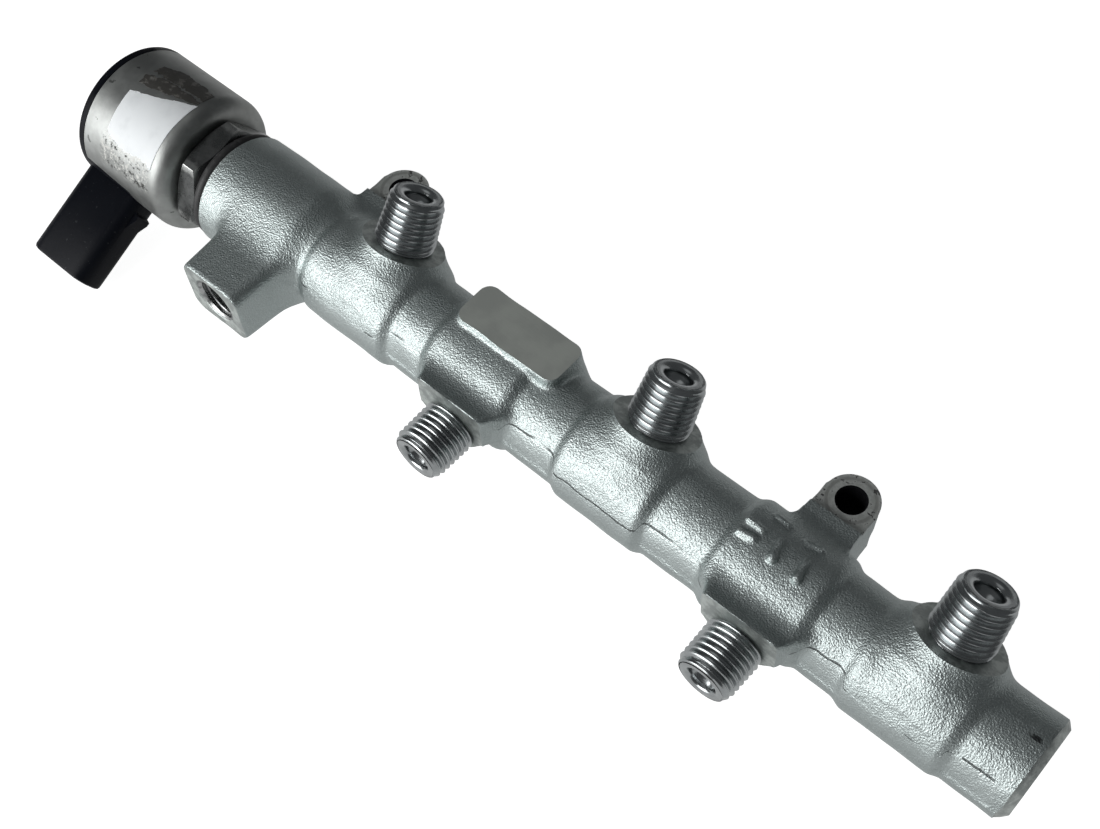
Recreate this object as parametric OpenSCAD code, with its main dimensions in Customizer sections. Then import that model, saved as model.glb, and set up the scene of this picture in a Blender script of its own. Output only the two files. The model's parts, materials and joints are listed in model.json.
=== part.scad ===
// High-pressure fuel rail with a solenoid pressure valve screwed into its head.
// The rail axis lies on X. The origin is the centre of the sensor-end face, and
// the rail runs from there towards -X. +Z is the direction of the rail bolts.
// The outlet stubs lean from +Z towards +Y, the inlet side faces -Y.

/* [Rail forging] */
// Length of the forging, sensor-end face to head face
rail_len = 233; // [230:0.5:240]
// Diameter of the rail between its bulges
neck_d = 23.2; // [22:0.2:24.6]
// Diameter of the bulge at each port
barrel_d = 27.6; // [26.4:0.2:28.6]
// Length of each bulge over its flanks
barrel_len = 26; // [24:0.5:28]
// Axial length of the flank where a bulge meets the neck
flank_len = 3.2; // [2:0.2:4]
// Diameter of the head that holds the valve
head_d = 30.4; // [30:0.2:32]
// Length of the head before it falls to the first bulge
head_len = 26.5; // [25.5:0.5:28]
// Chamfer on both end faces
end_chamfer = 1.2; // [0.6:0.1:1.6]
// Bore of the long gallery
gallery_d = 8; // [6:0.5:9]
// Thickness of the trimmed flash land on the parting plane
flash_t = 2.6; // [1.6:0.2:3.4]
// Height of the flash land above the forging
flash_h = 1; // [0.6:0.1:1.4]

/* [Outlet stubs] */
// Distance of the first outlet from the sensor-end face
first_outlet = 26.5; // [24:0.5:29]
// Distance between neighbouring outlets
outlet_pitch = 77.4; // [76:0.2:79]
// Lean of the outlets from +Z towards the lug side, degrees
outlet_lean = 32; // [26:1:36]
// Distance from the rail axis to the mouth of an outlet
outlet_reach = 28.5; // [27:0.5:31]
// Distance from the rail axis to the machined ring at an outlet's foot
ring_reach = 14.8; // [14.2:0.2:15.6]
// Diameter of the machined ring
ring_d = 19.8; // [18.6:0.2:21]
// Radius of the forged fillet that carries the ring
ring_fillet = 5; // [3:0.5:6]

/* [Side stubs] */
// Distance of the first side stub from the sensor-end face
first_side = 62.6; // [60:0.2:65]
// Distance between the two side stubs
side_pitch = 82; // [80:0.2:84]
// Distance from the rail axis to the mouth of a side stub
side_reach = 28.5; // [27.5:0.5:31]
// Distance from the rail axis to the flat that a side stub stands on
side_face = 16.4; // [15.6:0.2:17.4]
// Width of that flat along the rail
side_w = 19.4; // [17:0.2:20]
// Height of that flat above the rail axis
side_up = 10.6; // [10:0.2:11.4]

/* [Stub ends] */
// Outer thread diameter of every stub
stub_d = 14; // [14:0.5:14.5]
// Thread pitch of every stub
stub_pitch = 1.5; // [1.25:0.25:1.5]
// Diameter of the plain nose
nose_d = 12.4; // [12:0.1:12.8]
// Length of the plain nose
nose_len = 0.9; // [0.7:0.1:1.4]
// Length of the lead cone behind the nose
lead_len = 1.2; // [0.8:0.1:1.8]
// Width of the run-out groove at the foot
groove_w = 0.8; // [0.5:0.1:1.2]
// Mouth of the 60 degree sealing cone
cone_d = 6.8; // [6.4:0.1:7.4]
// Passage through a stub
stub_bore = 3; // [2.4:0.2:3.6]

/* [Return boss] */
// Distance of the return boss from the head face
return_back = 20.3; // [19.5:0.1:21]
// Distance from the rail axis to the face of the return boss
return_face = 28.3; // [27:0.1:30]
// Width of the face along the rail
return_w = 18.4; // [17:0.2:19]
// Height of the face
return_h = 16; // [15:0.2:17]
// Tapping bore of the return port
return_bore = 10.5; // [10.3:0.1:10.7]
// Depth of the tapping bore
return_depth = 11; // [9:0.5:12]
// Drilling from the return port to the valve chamber
return_drill = 5; // [3.5:0.5:5]

/* [Bolt lugs] */
// Distance of the first lug from the sensor-end face
first_lug = 62.4; // [60:0.2:65]
// Distance between the two bolt holes
lug_pitch = 134.8; // [133:0.2:136]
// Distance from the rail axis to the bolt holes
lug_y = 22.7; // [21.5:0.1:24]
// Height of the machined lug face above the rail axis
lug_top = 6.1; // [5:0.1:7]
// Thickness of a lug
lug_t = 10.6; // [9:0.2:11]
// Radius of the lug's round end
lug_r = 6.4; // [6:0.1:7]
// Diameter of the bolt holes
bolt_hole_d = 6.5; // [6.4:0.1:6.8]

/* [Marking pad] */
// Length of the raised pad
pad_len = 29.8; // [26:0.2:32]
// Width of the raised pad
pad_w = 12; // [10:0.2:13]
// Distance of the pad's middle from the sensor-end face
pad_pos = 142; // [140:0.5:144]
// Sideways place of the pad's middle
pad_y = 5; // [4:0.2:6]
// Height of the pad above the rail axis
pad_top = 14.4; // [14.2:0.1:15.2]

/* [Sensor port] */
// Tapping bore of the sensor port
sensor_bore = 10.5; // [10.3:0.1:10.7]
// Depth of the tapping bore
sensor_depth = 14; // [12:0.5:16]

/* [Union nut] */
// Hexagon width across flats
nut_af = 27; // [26:0.5:27]
// Height of the hexagon
nut_hex_h = 6.6; // [6:0.1:7]
// Gap between the head face and the hexagon
nut_gap = 3; // [2.8:0.1:3.4]
// Diameter of the collar under the hexagon
nut_collar_d = 23.6; // [23:0.1:24.2]
// Outer thread diameter of the nut
nut_thread_d = 22; // [21:0.5:22.5]
// Length of the nut's thread inside the head
nut_thread_len = 10; // [9:0.5:10.5]
// Radial clearance of the nut in the head and on the valve stem
nut_clear = 0.15; // [0.1:0.05:0.3]

/* [Valve] */
// Diameter of the valve stem through the nut
stem_d = 14; // [13.4:0.2:14.4]
// Thickness of the flange that the nut clamps
flange_t = 3; // [2.4:0.2:3.4]
// Diameter of the sealing land behind the tip
land_d = 15.2; // [14.8:0.1:15.6]
// Length of the sealing land
land_len = 5; // [4.8:0.1:5.4]
// Diameter of the valve tip
tip_d = 10.6; // [10:0.2:11]
// Length of the valve tip
tip_len = 6; // [5.6:0.2:6.4]
// Outer diameter of the seat insert
seat_d = 5.6; // [5:0.2:6]
// Length of the seat insert
seat_len = 3.6; // [3:0.2:4]
// Diameter of the valve ball
ball_d = 2; // [1.6:0.1:2.2]
// Orifice under the ball
orifice_d = 1; // [0.7:0.1:1]
// Diameter of the push rod
rod_d = 2.4; // [2.2:0.1:2.6]
// Radial clearance of the push rod in its guide
rod_clear = 0.05; // [0.02:0.01:0.08]
// Radial clearance between fixed turned pieces
seat_clear = 0.05; // [0.02:0.01:0.1]

/* [Armature] */
// Diameter of the armature
armature_d = 12.8; // [12.4:0.1:13]
// Length of the armature
armature_len = 10; // [9:0.5:10.5]
// Radial clearance of the armature in its sleeve
armature_clear = 0.1; // [0.06:0.02:0.16]
// Wall of the armature sleeve
sleeve_wall = 0.5; // [0.4:0.05:0.6]
// Residual air gap held open by the stop shim
shim_t = 0.2; // [0.1:0.05:0.3]
// Opening travel of the ball and armature
valve_lift = 0.25; // [0.2:0.01:0.3]

/* [Solenoid] */
// Outer diameter of the drawn steel can
can_d = 37.8; // [37:0.2:39]
// Wall of the can
can_wall = 1.4; // [1.2:0.1:1.6]
// Length of the can
can_len = 29.6; // [29:0.2:31]
// Radius of the can's shoulder
can_round = 4.4; // [3.6:0.2:5]
// Gap between the hexagon and the can
can_gap = 0.3; // [0.2:0.1:0.6]
// Thickness of the flux ring at each end of the coil
yoke_t = 2.6; // [2:0.2:3]
// Wall of the bobbin's tube
bobbin_wall = 1.2; // [1:0.1:1.4]
// Thickness of the bobbin's flanges
bobbin_flange = 1.4; // [1.2:0.1:1.6]
// Gap between the bobbin's flanges and the can
coil_gap = 1.45; // [1.05:0.1:2.05]
// Thickness of the moulded end disc outside the can
disc_t = 2.4; // [2:0.2:3]

/* [Connector] */
// Turn of the connector from +Z towards the side stubs, degrees
plug_turn = 115; // [110:1:120]
// Distance from the valve axis to the socket's mouth
plug_reach = 44.2; // [42:0.2:47]
// Width of the connector along the valve
plug_w = 20.6; // [20:0.2:22]
// Thickness of the connector
plug_t = 11; // [10.4:0.2:12]
// Corner radius of the connector
plug_r = 4.2; // [3.4:0.2:5]
// Wall of the socket
plug_wall = 1.8; // [1.6:0.1:2.2]
// Depth of the socket
socket_depth = 14; // [12:0.5:15]
// Distance between the two terminals
pin_pitch = 8; // [7:0.5:9]
// Width of a terminal blade
pin_w = 2.8; // [2.4:0.1:3]
// Thickness of a terminal blade
pin_t = 0.8; // [0.6:0.1:1]

/* [Hidden] */

eps = 0.01;
// Gap left where a face doesn't bottom, such as the nut's collar on the head
face_gap = 0.2;
neck_r = neck_d / 2;
barrel_r = barrel_d / 2;
head_r = head_d / 2;

// Stations along the rail, counted from the sensor-end face
outlet_at = [for (i = [0:2]) first_outlet + i * outlet_pitch];
side_at = [for (i = [0:1]) first_side + i * side_pitch];
lug_at = [for (i = [0:1]) first_lug + i * lug_pitch];
return_at = rail_len - return_back;
head_from = rail_len - head_len;
barrel_at = concat(outlet_at, side_at);

// Stations of the valve, counted outwards from the head face
d_nut_in = -nut_thread_len;
d_flange = d_nut_in - flange_t;
d_land = d_flange - land_len;
d_tip = d_land - tip_len;
d_hex = nut_gap;
d_hex_end = d_hex + nut_hex_h;
d_can = d_hex_end + can_gap;
d_yoke = d_can + can_wall;
d_bobbin = d_yoke + yoke_t + seat_clear;
sleeve_in = armature_d / 2 + armature_clear;
sleeve_r = sleeve_in + sleeve_wall;
bobbin_r = sleeve_r + bobbin_wall + seat_clear;
can_in_r = can_d / 2 - can_wall;
bobbin_out = can_in_r - coil_gap;
// The winding stops short of the flanges' edge
winding_h = bobbin_out - 0.8 - bobbin_r;
root_from = bobbin_out + 0.3;
d_can_end = d_can + can_len;
d_end = d_can_end + disc_t;
cover_in = 3.2;
d_cover = d_can_end - cover_in;
// The sleeve ends a little past the cover's inner face, and the plug, the
// armature and the pole follow from its end
sleeve_over = 0.25;
plug_gap = 1;
spring_plug_t = 2.4;
d_sleeve_end = d_cover + sleeve_over;
d_plug = d_sleeve_end - spring_plug_t;
d_arm_end = d_plug - plug_gap;
d_arm = d_arm_end - armature_len;
d_pole = d_arm - shim_t;
d_rear_yoke = d_cover - seat_clear - yoke_t;
d_bobbin_end = d_rear_yoke - seat_clear;
plug_mid = d_end - plug_w / 2;

// Places a shape turned about Z so that its Z axis lies on the rail axis,
// standing at station s and pointing towards the head
module on_rail(s) { translate([-s, 0, 0]) rotate([0, -90, 0]) children(); }
module on_valve(d) { on_rail(rail_len + d) children(); }

// Stands a shape on the rail axis at station s, pointing along an outlet
module at_outlet(s) { translate([-s, 0, 0]) rotate([-outlet_lean, 0, 0]) children(); }
// Stands a shape on the rail axis at station s, pointing to the side
module at_side(s) { translate([-s, 0, 0]) rotate([90, 0, 0]) children(); }
// Places a shape in the connector's own frame: X along the valve, Z outwards
module at_plug() { translate([-(rail_len + plug_mid), 0, 0]) rotate([plug_turn, 0, 0]) children(); }

module rounded(w, h, r) {
    square([w - 2 * r, h], center = true);
    square([w, h - 2 * r], center = true);
    for (x = [-1, 1], y = [-1, 1]) translate([x * (w / 2 - r), y * (h / 2 - r)]) circle(r, $fn = 32);
}
module ring(r_out, r_in, h) {
    rotate_extrude($fn = 96) translate([r_in, 0]) square([r_out - r_in, h]);
}

// Half-cosine rise from 0 to 1
function rise(t) = (1 - cos(180 * min(1, max(0, t)))) / 2;
// Height of one bulge above the neck at station s
function bulge(s, c) = rise((barrel_len / 2 - abs(s - c)) / flank_len);
function head_rise(s) = rise((s - head_from + 6) / 6);
// Radius of the forging at station s
function rail_r(s) = max(concat([for (c = barrel_at) neck_r + (barrel_r - neck_r) * bulge(s, c)],
    [neck_r + (head_r - neck_r) * head_rise(s)]));
// Stations where the outline changes, in order along the rail
flank_steps = [0, 0.25, 0.5, 0.75, 1];
function flank(c) = [for (g = [-1, 1], t = flank_steps)
    c + g * (barrel_len / 2 - (g < 0 ? t : 1 - t) * flank_len)];
stations = concat([for (c = barrel_at) each flank(c)], [for (t = [0, 0.2, 0.4, 0.6, 0.8, 1]) head_from - 6 + 6 * t]);
function sorted(v) = len(v) < 2 ? v :
    let (p = v[floor(len(v) / 2)])
    concat(sorted([for (x = v) if (x < p) x]), [for (x = v) if (x == p) x][0],
        sorted([for (x = v) if (x > p) x]));
line = sorted([for (s = stations) if (s > end_chamfer && s < rail_len - end_chamfer) s]);

module rail_turned() {
    on_rail(0) rotate_extrude($fn = 96) polygon(concat(
        [[0, 0], [neck_r - end_chamfer, 0], [neck_r, end_chamfer]],
        [for (s = line) [rail_r(s), s]],
        [[head_r, rail_len - end_chamfer], [head_r - end_chamfer, rail_len], [0, rail_len]]));
}

// Flash land: the forging's outline on the parting plane, a little proud
module flash_land() {
    edge = concat([[end_chamfer, neck_r + flash_h]],
        [for (s = line) [s, rail_r(s) + flash_h * (1 - head_rise(s))]],
        [[rail_len - end_chamfer, head_r]]);
    translate([0, 0, -flash_t / 2]) linear_extrude(flash_t) mirror([1, 0]) polygon(concat(
        [[end_chamfer, 0]], [for (p = edge) [p[0], -p[1]]], [[rail_len - end_chamfer, 0]],
        [for (i = [len(edge) - 1:-1:0]) edge[i]]));
}

// Forged foot of an outlet: a ring on a concave flare that runs into the bulge
module outlet_foot() {
    low = ring_reach - ring_fillet - 1;
    rotate_extrude($fn = 96) polygon(concat([[0, 0], [ring_d / 2 + ring_fillet * 0.75, low - 3]],
        [for (a = [0:15:75]) [ring_d / 2 + ring_fillet * 0.75 * (1 - sin(a)), low + ring_fillet * (1 - cos(a))]],
        [[ring_d / 2, low + ring_fillet], [ring_d / 2, ring_reach - 0.4],
        [ring_d / 2 - 0.4, ring_reach], [0, ring_reach]]));
}

// Threaded stub with nose, lead cone and run-out groove, from foot to mouth
nose_rim = 0.4;
module stub(foot, mouth) {
    groove_r = stub_d / 2 - 0.65 * stub_pitch;
    rotate_extrude($fn = 96) polygon([[0, foot - 4], [groove_r, foot - 4], [groove_r, foot + groove_w],
        [stub_d / 2, foot + groove_w + 0.6], [stub_d / 2, mouth - nose_len - lead_len],
        [nose_d / 2, mouth - nose_len], [nose_d / 2, mouth - nose_rim], [nose_d / 2 - nose_rim, mouth], [0, mouth]]);
}
// Passage and 60 degree sealing cone inside a stub
module stub_passage(mouth) {
    cone_h = (cone_d - stub_bore) / 2 / tan(30);
    cylinder(d = stub_bore, h = mouth + 1, $fn = 48);
    translate([0, 0, mouth - cone_h]) cylinder(d1 = stub_bore, d2 = cone_d + 2 * tan(30), h = cone_h + 1, $fn = 64);
}

// Forged block under a side stub, square towards the top and round below
module side_outline(w, up, r) {
    circle(d = w, $fn = 64);
    translate([0, up - 2 * r]) rounded(w, 4 * r, r);
}
module side_foot() {
    hull() {
        translate([0, 0, side_face - 1]) linear_extrude(1) side_outline(side_w, side_up, 1.6);
        translate([0, 0, 4]) linear_extrude(1) side_outline(side_w + 3, side_up + 0.6, 3);
    }
}

// Return boss with its flat machined face
module return_boss() {
    hull() {
        translate([0, 0, return_face - 1]) linear_extrude(1) rounded(return_w, return_h, 3.6);
        translate([0, 0, head_r - 6]) linear_extrude(1) rounded(return_w + 3, return_h + 4, 6);
    }
}

// Bolt lug, a tapered tongue with a round end
module lug() {
    hull() {
        translate([0, lug_y, lug_top - lug_t]) cylinder(r1 = lug_r - 0.9, r2 = lug_r, h = lug_t + 0.8, $fn = 32);
        translate([0, 6, lug_top - lug_t - 2.5]) linear_extrude(lug_t + 5.5) rounded(2 * lug_r + 8, 6, 2.5);
    }
}
module lug_cut() {
    // Machined face: everything above the bolt seat, from a straight edge outwards
    translate([-2 * lug_r, lug_y - lug_r + 0.6, lug_top]) cube([4 * lug_r, 3 * lug_r, 6]);
    translate([0, lug_y, lug_top - lug_t - 4]) cylinder(d = bolt_hole_d, h = lug_t + 12, $fn = 64);
}

module marking_pad() {
    translate([-pad_pos, pad_y, 0]) hull() {
        translate([0, 0, pad_top - 1]) linear_extrude(1) rounded(pad_len, pad_w, 2.4);
        translate([0, 0, 7]) linear_extrude(1) rounded(pad_len + 2, pad_w + 2.4, 3);
    }
}

module rail_bores() {
    // Gallery
    on_rail(-1) cylinder(d = gallery_d, h = rail_len + d_tip + 1 + eps, $fn = 64);
    // Sensor port and its sealing cone
    on_rail(-1) cylinder(d = sensor_bore, h = sensor_depth + 1, $fn = 64);
    on_rail(sensor_depth - eps) cylinder(d1 = sensor_bore, d2 = gallery_d, h = (sensor_bore - gallery_d) / 2, $fn = 64);
    // Valve chamber, land bore and nut thread
    on_valve(d_tip) cylinder(d = tip_d + 3.4, h = tip_len + 1, $fn = 64);
    on_valve(d_land) cylinder(r = land_d / 2 + seat_clear, h = land_len + 1, $fn = 64);
    on_valve(d_flange) cylinder(r = nut_thread_d / 2 + nut_clear, h = flange_t + nut_thread_len + 1, $fn = 96);
    // Stub passages
    for (s = outlet_at) at_outlet(s) stub_passage(outlet_reach);
    for (s = side_at) at_side(s) stub_passage(side_reach);
    // Return port
    at_side(return_at) {
        cylinder(d = return_drill, h = return_face, $fn = 48);
        translate([0, 0, return_face - return_depth]) cylinder(d = return_bore, h = return_depth + 1, $fn = 64);
        translate([0, 0, return_face - 0.8]) cylinder(d1 = return_bore, d2 = return_bore + 2.4, h = 1.2, $fn = 64);
    }
}

module rail_body() {
    color([0.62, 0.64, 0.64]) difference() {
        union() {
            rail_turned();
            flash_land();
            for (s = outlet_at) at_outlet(s) { outlet_foot(); stub(ring_reach, outlet_reach); }
            for (s = side_at) at_side(s) { side_foot(); stub(side_face, side_reach); }
            at_side(return_at) return_boss();
            for (s = lug_at) translate([-s, 0, 0]) lug();
            marking_pad();
        }
        for (s = lug_at) translate([-s, 0, 0]) lug_cut();
        rail_bores();
    }
}

// Hexagon with the 30 degree chamfers of a turned nut
module chamfered_hex(af, h) {
    corner = af / sqrt(3);
    fall = (corner + 1 - af / 2 + 0.2) * tan(30);
    intersection() {
        rotate([0, 0, -37]) cylinder(r = corner, h = h, $fn = 6);
        rotate_extrude($fn = 96) polygon([[0, 0], [af / 2 - 0.2, 0], [corner + 1, fall],
            [corner + 1, h - fall], [af / 2 - 0.2, h], [0, h]]);
    }
}
module union_nut() {
    color([0.30, 0.31, 0.31]) difference() {
        union() {
            on_valve(d_hex) chamfered_hex(nut_af, nut_hex_h);
            on_valve(face_gap) cylinder(d = nut_collar_d, h = nut_gap, $fn = 96);
            on_valve(d_nut_in) rotate_extrude($fn = 96) polygon([[0, 0], [nut_thread_d / 2 - 1, 0], [nut_thread_d / 2, 1],
                [nut_thread_d / 2, nut_thread_len + 0.5], [0, nut_thread_len + 0.5]]);
        }
        on_valve(d_nut_in - 1) cylinder(r = stem_d / 2 + nut_clear, h = d_hex_end - d_nut_in + 2, $fn = 96);
    }
}
// Rubber ring between the hexagon and the head face
module nut_seal_ring() {
    t = nut_gap - 0.1;
    color([0.05, 0.05, 0.05]) on_valve(nut_gap / 2) rotate_extrude($fn = 96)
        translate([nut_collar_d / 2 + t / 2, 0]) circle(d = t, $fn = 48);
}

seal_w = 2.4;
backup_w = 1;
groove_depth = 1.9;
// Turned valve body, from the sealing tip to the magnetic pole
module valve_body() {
    land_r = land_d / 2;
    color([0.55, 0.56, 0.57]) difference() {
        on_valve(0) rotate_extrude($fn = 96) polygon([[0, d_tip], [gallery_d / 2 + 0.9, d_tip], [tip_d / 2, d_tip + 0.8],
            [tip_d / 2, d_land], [land_r - 0.5, d_land], [land_r, d_land + 0.5],
            [land_r, d_land + 0.9], [land_r - groove_depth, d_land + 0.9],
            [land_r - groove_depth, d_land + 0.9 + seal_w + backup_w], [land_r, d_land + 0.9 + seal_w + backup_w],
            [land_r, d_flange], [nut_thread_d / 2 - 1.4, d_flange], [nut_thread_d / 2 - 1.4, d_nut_in],
            [stem_d / 2, d_nut_in], [stem_d / 2, d_bobbin], [sleeve_in, d_bobbin], [sleeve_in, d_pole], [0, d_pole]]);
        // Pocket of the seat insert, rod bore and guide pocket
        on_valve(d_tip - 1) cylinder(d = seat_d, h = seat_len + 1, $fn = 48);
        on_valve(d_tip) cylinder(d = rod_d + 1.2, h = d_pole - d_tip + 1, $fn = 48);
        on_valve(d_pole - guide_len) cylinder(d = guide_d, h = guide_len + 1, $fn = 48);
        // Outlet windows of the ball chamber
        for (a = [0:90:270]) on_valve(d_tip + seat_len + 1.1) rotate([0, 0, a]) rotate([0, 90, 0]) cylinder(d = 1.6, h = tip_d, $fn = 32);
    }
}
ball_at = d_tip + seat_len - 0.3;
module seat_insert() {
    cone = ball_d / 2 * sin(45);
    color([0.7, 0.7, 0.7]) difference() {
        on_valve(d_tip) cylinder(d = seat_d, h = seat_len, $fn = 48);
        on_valve(d_tip - 1) cylinder(d = orifice_d, h = seat_len + 2, $fn = 48);
        // Conical seat that the ball touches on a ring, 45 degrees to the axis
        on_valve(ball_at - ball_d / 2 * sqrt(2) - 0.02) cylinder(r1 = 0, r2 = 3, h = 3, $fn = 64);
        on_valve(d_tip + seat_len - cone / 2) cylinder(d = ball_d + 0.6, h = 2, $fn = 48);
        on_valve(d_tip - eps) cylinder(d1 = orifice_d + 1.4, d2 = orifice_d, h = 1, $fn = 48);
    }
}
module valve_ball() { color([0.8, 0.8, 0.8]) on_valve(ball_at) sphere(d = ball_d, $fn = 48); }

guide_d = 5;
guide_len = 6;
rod_tip = 0.15;
spring_bore_d = 6;
spring_bore_h = 4.6;
// Push rod from the ball to the armature
module push_rod() {
    from = ball_at + ball_d / 2 - rod_tip;
    color([0.75, 0.75, 0.76]) difference() {
        on_valve(from) cylinder(d = rod_d, h = d_arm_end - spring_bore_h - from, $fn = 48);
        on_valve(ball_at) sphere(d = ball_d, $fn = 48);
    }
}
module rod_guide() {
    color([0.72, 0.6, 0.3]) on_valve(d_pole - guide_len) ring(guide_d / 2, rod_d / 2 + rod_clear, guide_len);
}
module armature() {
    color([0.5, 0.5, 0.52]) difference() {
        on_valve(d_arm) rotate_extrude($fn = 96) polygon([[0, 0], [armature_d / 2 - 0.5, 0], [armature_d / 2, 0.5],
            [armature_d / 2, armature_len - 0.5], [armature_d / 2 - 0.5, armature_len], [0, armature_len]]);
        on_valve(d_arm - 1) cylinder(d = rod_d, h = armature_len + 2, $fn = 48);
        on_valve(d_arm_end - spring_bore_h) cylinder(d = spring_bore_d, h = spring_bore_h + 1, $fn = 48);
        // Three flow holes let fuel pass as the armature moves
        for (a = [60:120:300]) on_valve(d_arm - 1) rotate([0, 0, a]) translate([4.4, 0, 0]) cylinder(d = 1.5, h = armature_len + 2, $fn = 32);
    }
}
module stop_shim() {
    color([0.8, 0.75, 0.5]) on_valve(d_pole) ring(armature_d / 2 - 0.6, guide_d / 2, shim_t - 0.05);
}
module armature_sleeve() {
    color([0.72, 0.73, 0.74]) on_valve(d_bobbin) ring(sleeve_r, sleeve_in, d_sleeve_end - d_bobbin);
}
// Spring seat plug, pressed into the open end of the sleeve
spring_d = 5;
spring_wire = 0.7;
spring_turns = 5;
module spring_plug() {
    color([0.6, 0.6, 0.6]) {
        on_valve(d_plug) difference() {
            cylinder(r = sleeve_in, h = spring_plug_t, $fn = 96);
            translate([0, 0, spring_plug_t - 1]) cylinder(d = 4, h = 2, $fn = 6);
        }
        on_valve(d_plug - 1.6) cylinder(d = spring_d - 2 * spring_wire - 0.4, h = 1.7, $fn = 48);
    }
}
// Closing spring, drawn as its stack of round turns
module valve_spring() {
    from = d_arm_end - spring_bore_h + valve_lift + 0.05 + spring_wire / 2;
    to = d_plug - spring_wire / 2 - 0.02;
    color([0.7, 0.7, 0.72]) on_valve(0) spring_coil(from, to);
}
module spring_coil(from, to) {
    steps = 16 * spring_turns;
    sides = 8;
    rr = (spring_d - spring_wire) / 2;
    pts = [for (i = [0:steps], k = [0:sides - 1])
        let (a = 360 * spring_turns * i / steps, z = from + (to - from) * i / steps, b = 360 * k / sides,
            q = rr + spring_wire / 2 * cos(b))
        [q * cos(a), q * sin(a), z + spring_wire / 2 * sin(b)]];
    n = sides;
    polyhedron(points = pts, faces = concat(
        [[for (k = [0:n - 1]) k]],
        [for (i = [0:steps - 1], k = [0:n - 1]) each [
            [i * n + k, (i + 1) * n + k, (i + 1) * n + (k + 1) % n],
            [i * n + k, (i + 1) * n + (k + 1) % n, i * n + (k + 1) % n]]],
        [[for (k = [n - 1:-1:0]) steps * n + k]]), convexity = 10);
}

// Seals in the groove of the sealing land
module valve_o_ring() {
    rr = land_d / 2 - groove_depth / 2;
    color([0.06, 0.06, 0.06]) on_valve(d_land + 0.9 + groove_depth / 2 + 0.1) rotate_extrude($fn = 96)
        translate([rr, 0]) circle(d = groove_depth - 0.02, $fn = 48);
}
module backup_ring() {
    color([0.85, 0.83, 0.76]) on_valve(d_land + 0.9 + seal_w) ring(land_d / 2 - 0.02, land_d / 2 - groove_depth + 0.02, backup_w - 0.05);
}

module coil_bobbin() {
    outer = bobbin_out;
    len_b = d_bobbin_end - d_bobbin - seat_clear;
    color([0.12, 0.12, 0.13]) on_valve(d_bobbin + seat_clear) rotate_extrude($fn = 96) polygon([
        [sleeve_r + seat_clear, 0], [outer, 0], [outer, bobbin_flange], [bobbin_r, bobbin_flange],
        [bobbin_r, len_b - bobbin_flange], [outer, len_b - bobbin_flange], [outer, len_b], [sleeve_r + seat_clear, len_b]]);
}
module coil_winding() {
    len_b = d_bobbin_end - d_bobbin - seat_clear;
    color([0.72, 0.42, 0.22]) on_valve(d_bobbin + seat_clear + bobbin_flange) ring(bobbin_r + winding_h, bobbin_r, len_b - 2 * bobbin_flange);
}
seal_t = 1.2;
yoke_round = can_round - can_wall;
yoke_arc = acos(1 - min(1, yoke_t / yoke_round));
module front_yoke() {
    color([0.45, 0.46, 0.47]) difference() {
        // Its front edge is rounded to lie in the can's shoulder
        on_valve(d_yoke) rotate_extrude($fn = 96) polygon(concat([[stem_d / 2 + seat_clear, 0]],
            [for (i = [0:6]) [can_in_r - seat_clear - yoke_round * (1 - sin(yoke_arc * i / 6)), yoke_round * (1 - cos(yoke_arc * i / 6))]],
            yoke_t > yoke_round ? [[can_in_r - seat_clear, yoke_t]] : [],
            [[stem_d / 2 + seat_clear, yoke_t]]));
        on_valve(d_yoke - 1) cylinder(r = stem_d / 2 + seal_t, h = 1 + seal_t, $fn = 96);
    }
}
module rear_yoke() {
    color([0.45, 0.46, 0.47]) difference() {
        on_valve(d_rear_yoke) ring(can_in_r - seat_clear, sleeve_r + seat_clear, yoke_t);
        on_valve(d_cover - seat_clear - seal_t) cylinder(r = sleeve_r + seal_t, h = seal_t + 1, $fn = 96);
        plug_notch(seat_clear);
    }
}
module front_coil_seal() {
    color([0.06, 0.06, 0.06]) on_valve(d_yoke + seal_t / 2) rotate_extrude($fn = 96)
        translate([stem_d / 2 + seal_t / 2, 0]) circle(d = seal_t - 0.04, $fn = 32);
}
module rear_coil_seal() {
    color([0.06, 0.06, 0.06]) on_valve(d_cover - seat_clear - seal_t / 2) rotate_extrude($fn = 96)
        translate([sleeve_r + seal_t / 2 + seat_clear / 2, 0]) circle(d = seal_t - 0.1, $fn = 32);
}

// Outline of the connector's root where it leaves the can: wide at the can's
// open end, narrower towards the hexagon
root_wide = 18.8;
root_narrow = 13;
module root_outline(grow) {
    a = plug_w / 2;
    polygon([[a - 2.2 + grow, -root_narrow / 2 - grow], [a - 2.2 + grow, root_narrow / 2 + grow],
        [-a + disc_t - 6, root_wide / 2 + grow], [-a + disc_t - 6, -root_wide / 2 - grow]]);
}
// The same outline as a cutter through one side of the can
module plug_notch(grow) {
    at_plug() translate([0, 0, root_from - grow - seat_clear]) linear_extrude(can_d) root_outline(grow);
}

module solenoid_can() {
    r = can_d / 2;
    color([0.58, 0.60, 0.60]) difference() {
        on_valve(d_can) rotate_extrude($fn = 96) polygon(concat(
            [[stem_d / 2 + 0.5, 0]],
            [for (a = [0:10:90]) [r - can_round + can_round * sin(a), can_round * (1 - cos(a))]],
            [[r, can_len], [r - can_wall, can_len]],
            [for (a = [90:-10:0]) [r - can_round + (can_round - can_wall) * sin(a), can_round - (can_round - can_wall) * cos(a)]],
            [[stem_d / 2 + 0.5, can_wall]]));
        plug_notch(2 * seat_clear);
    }
}

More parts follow.
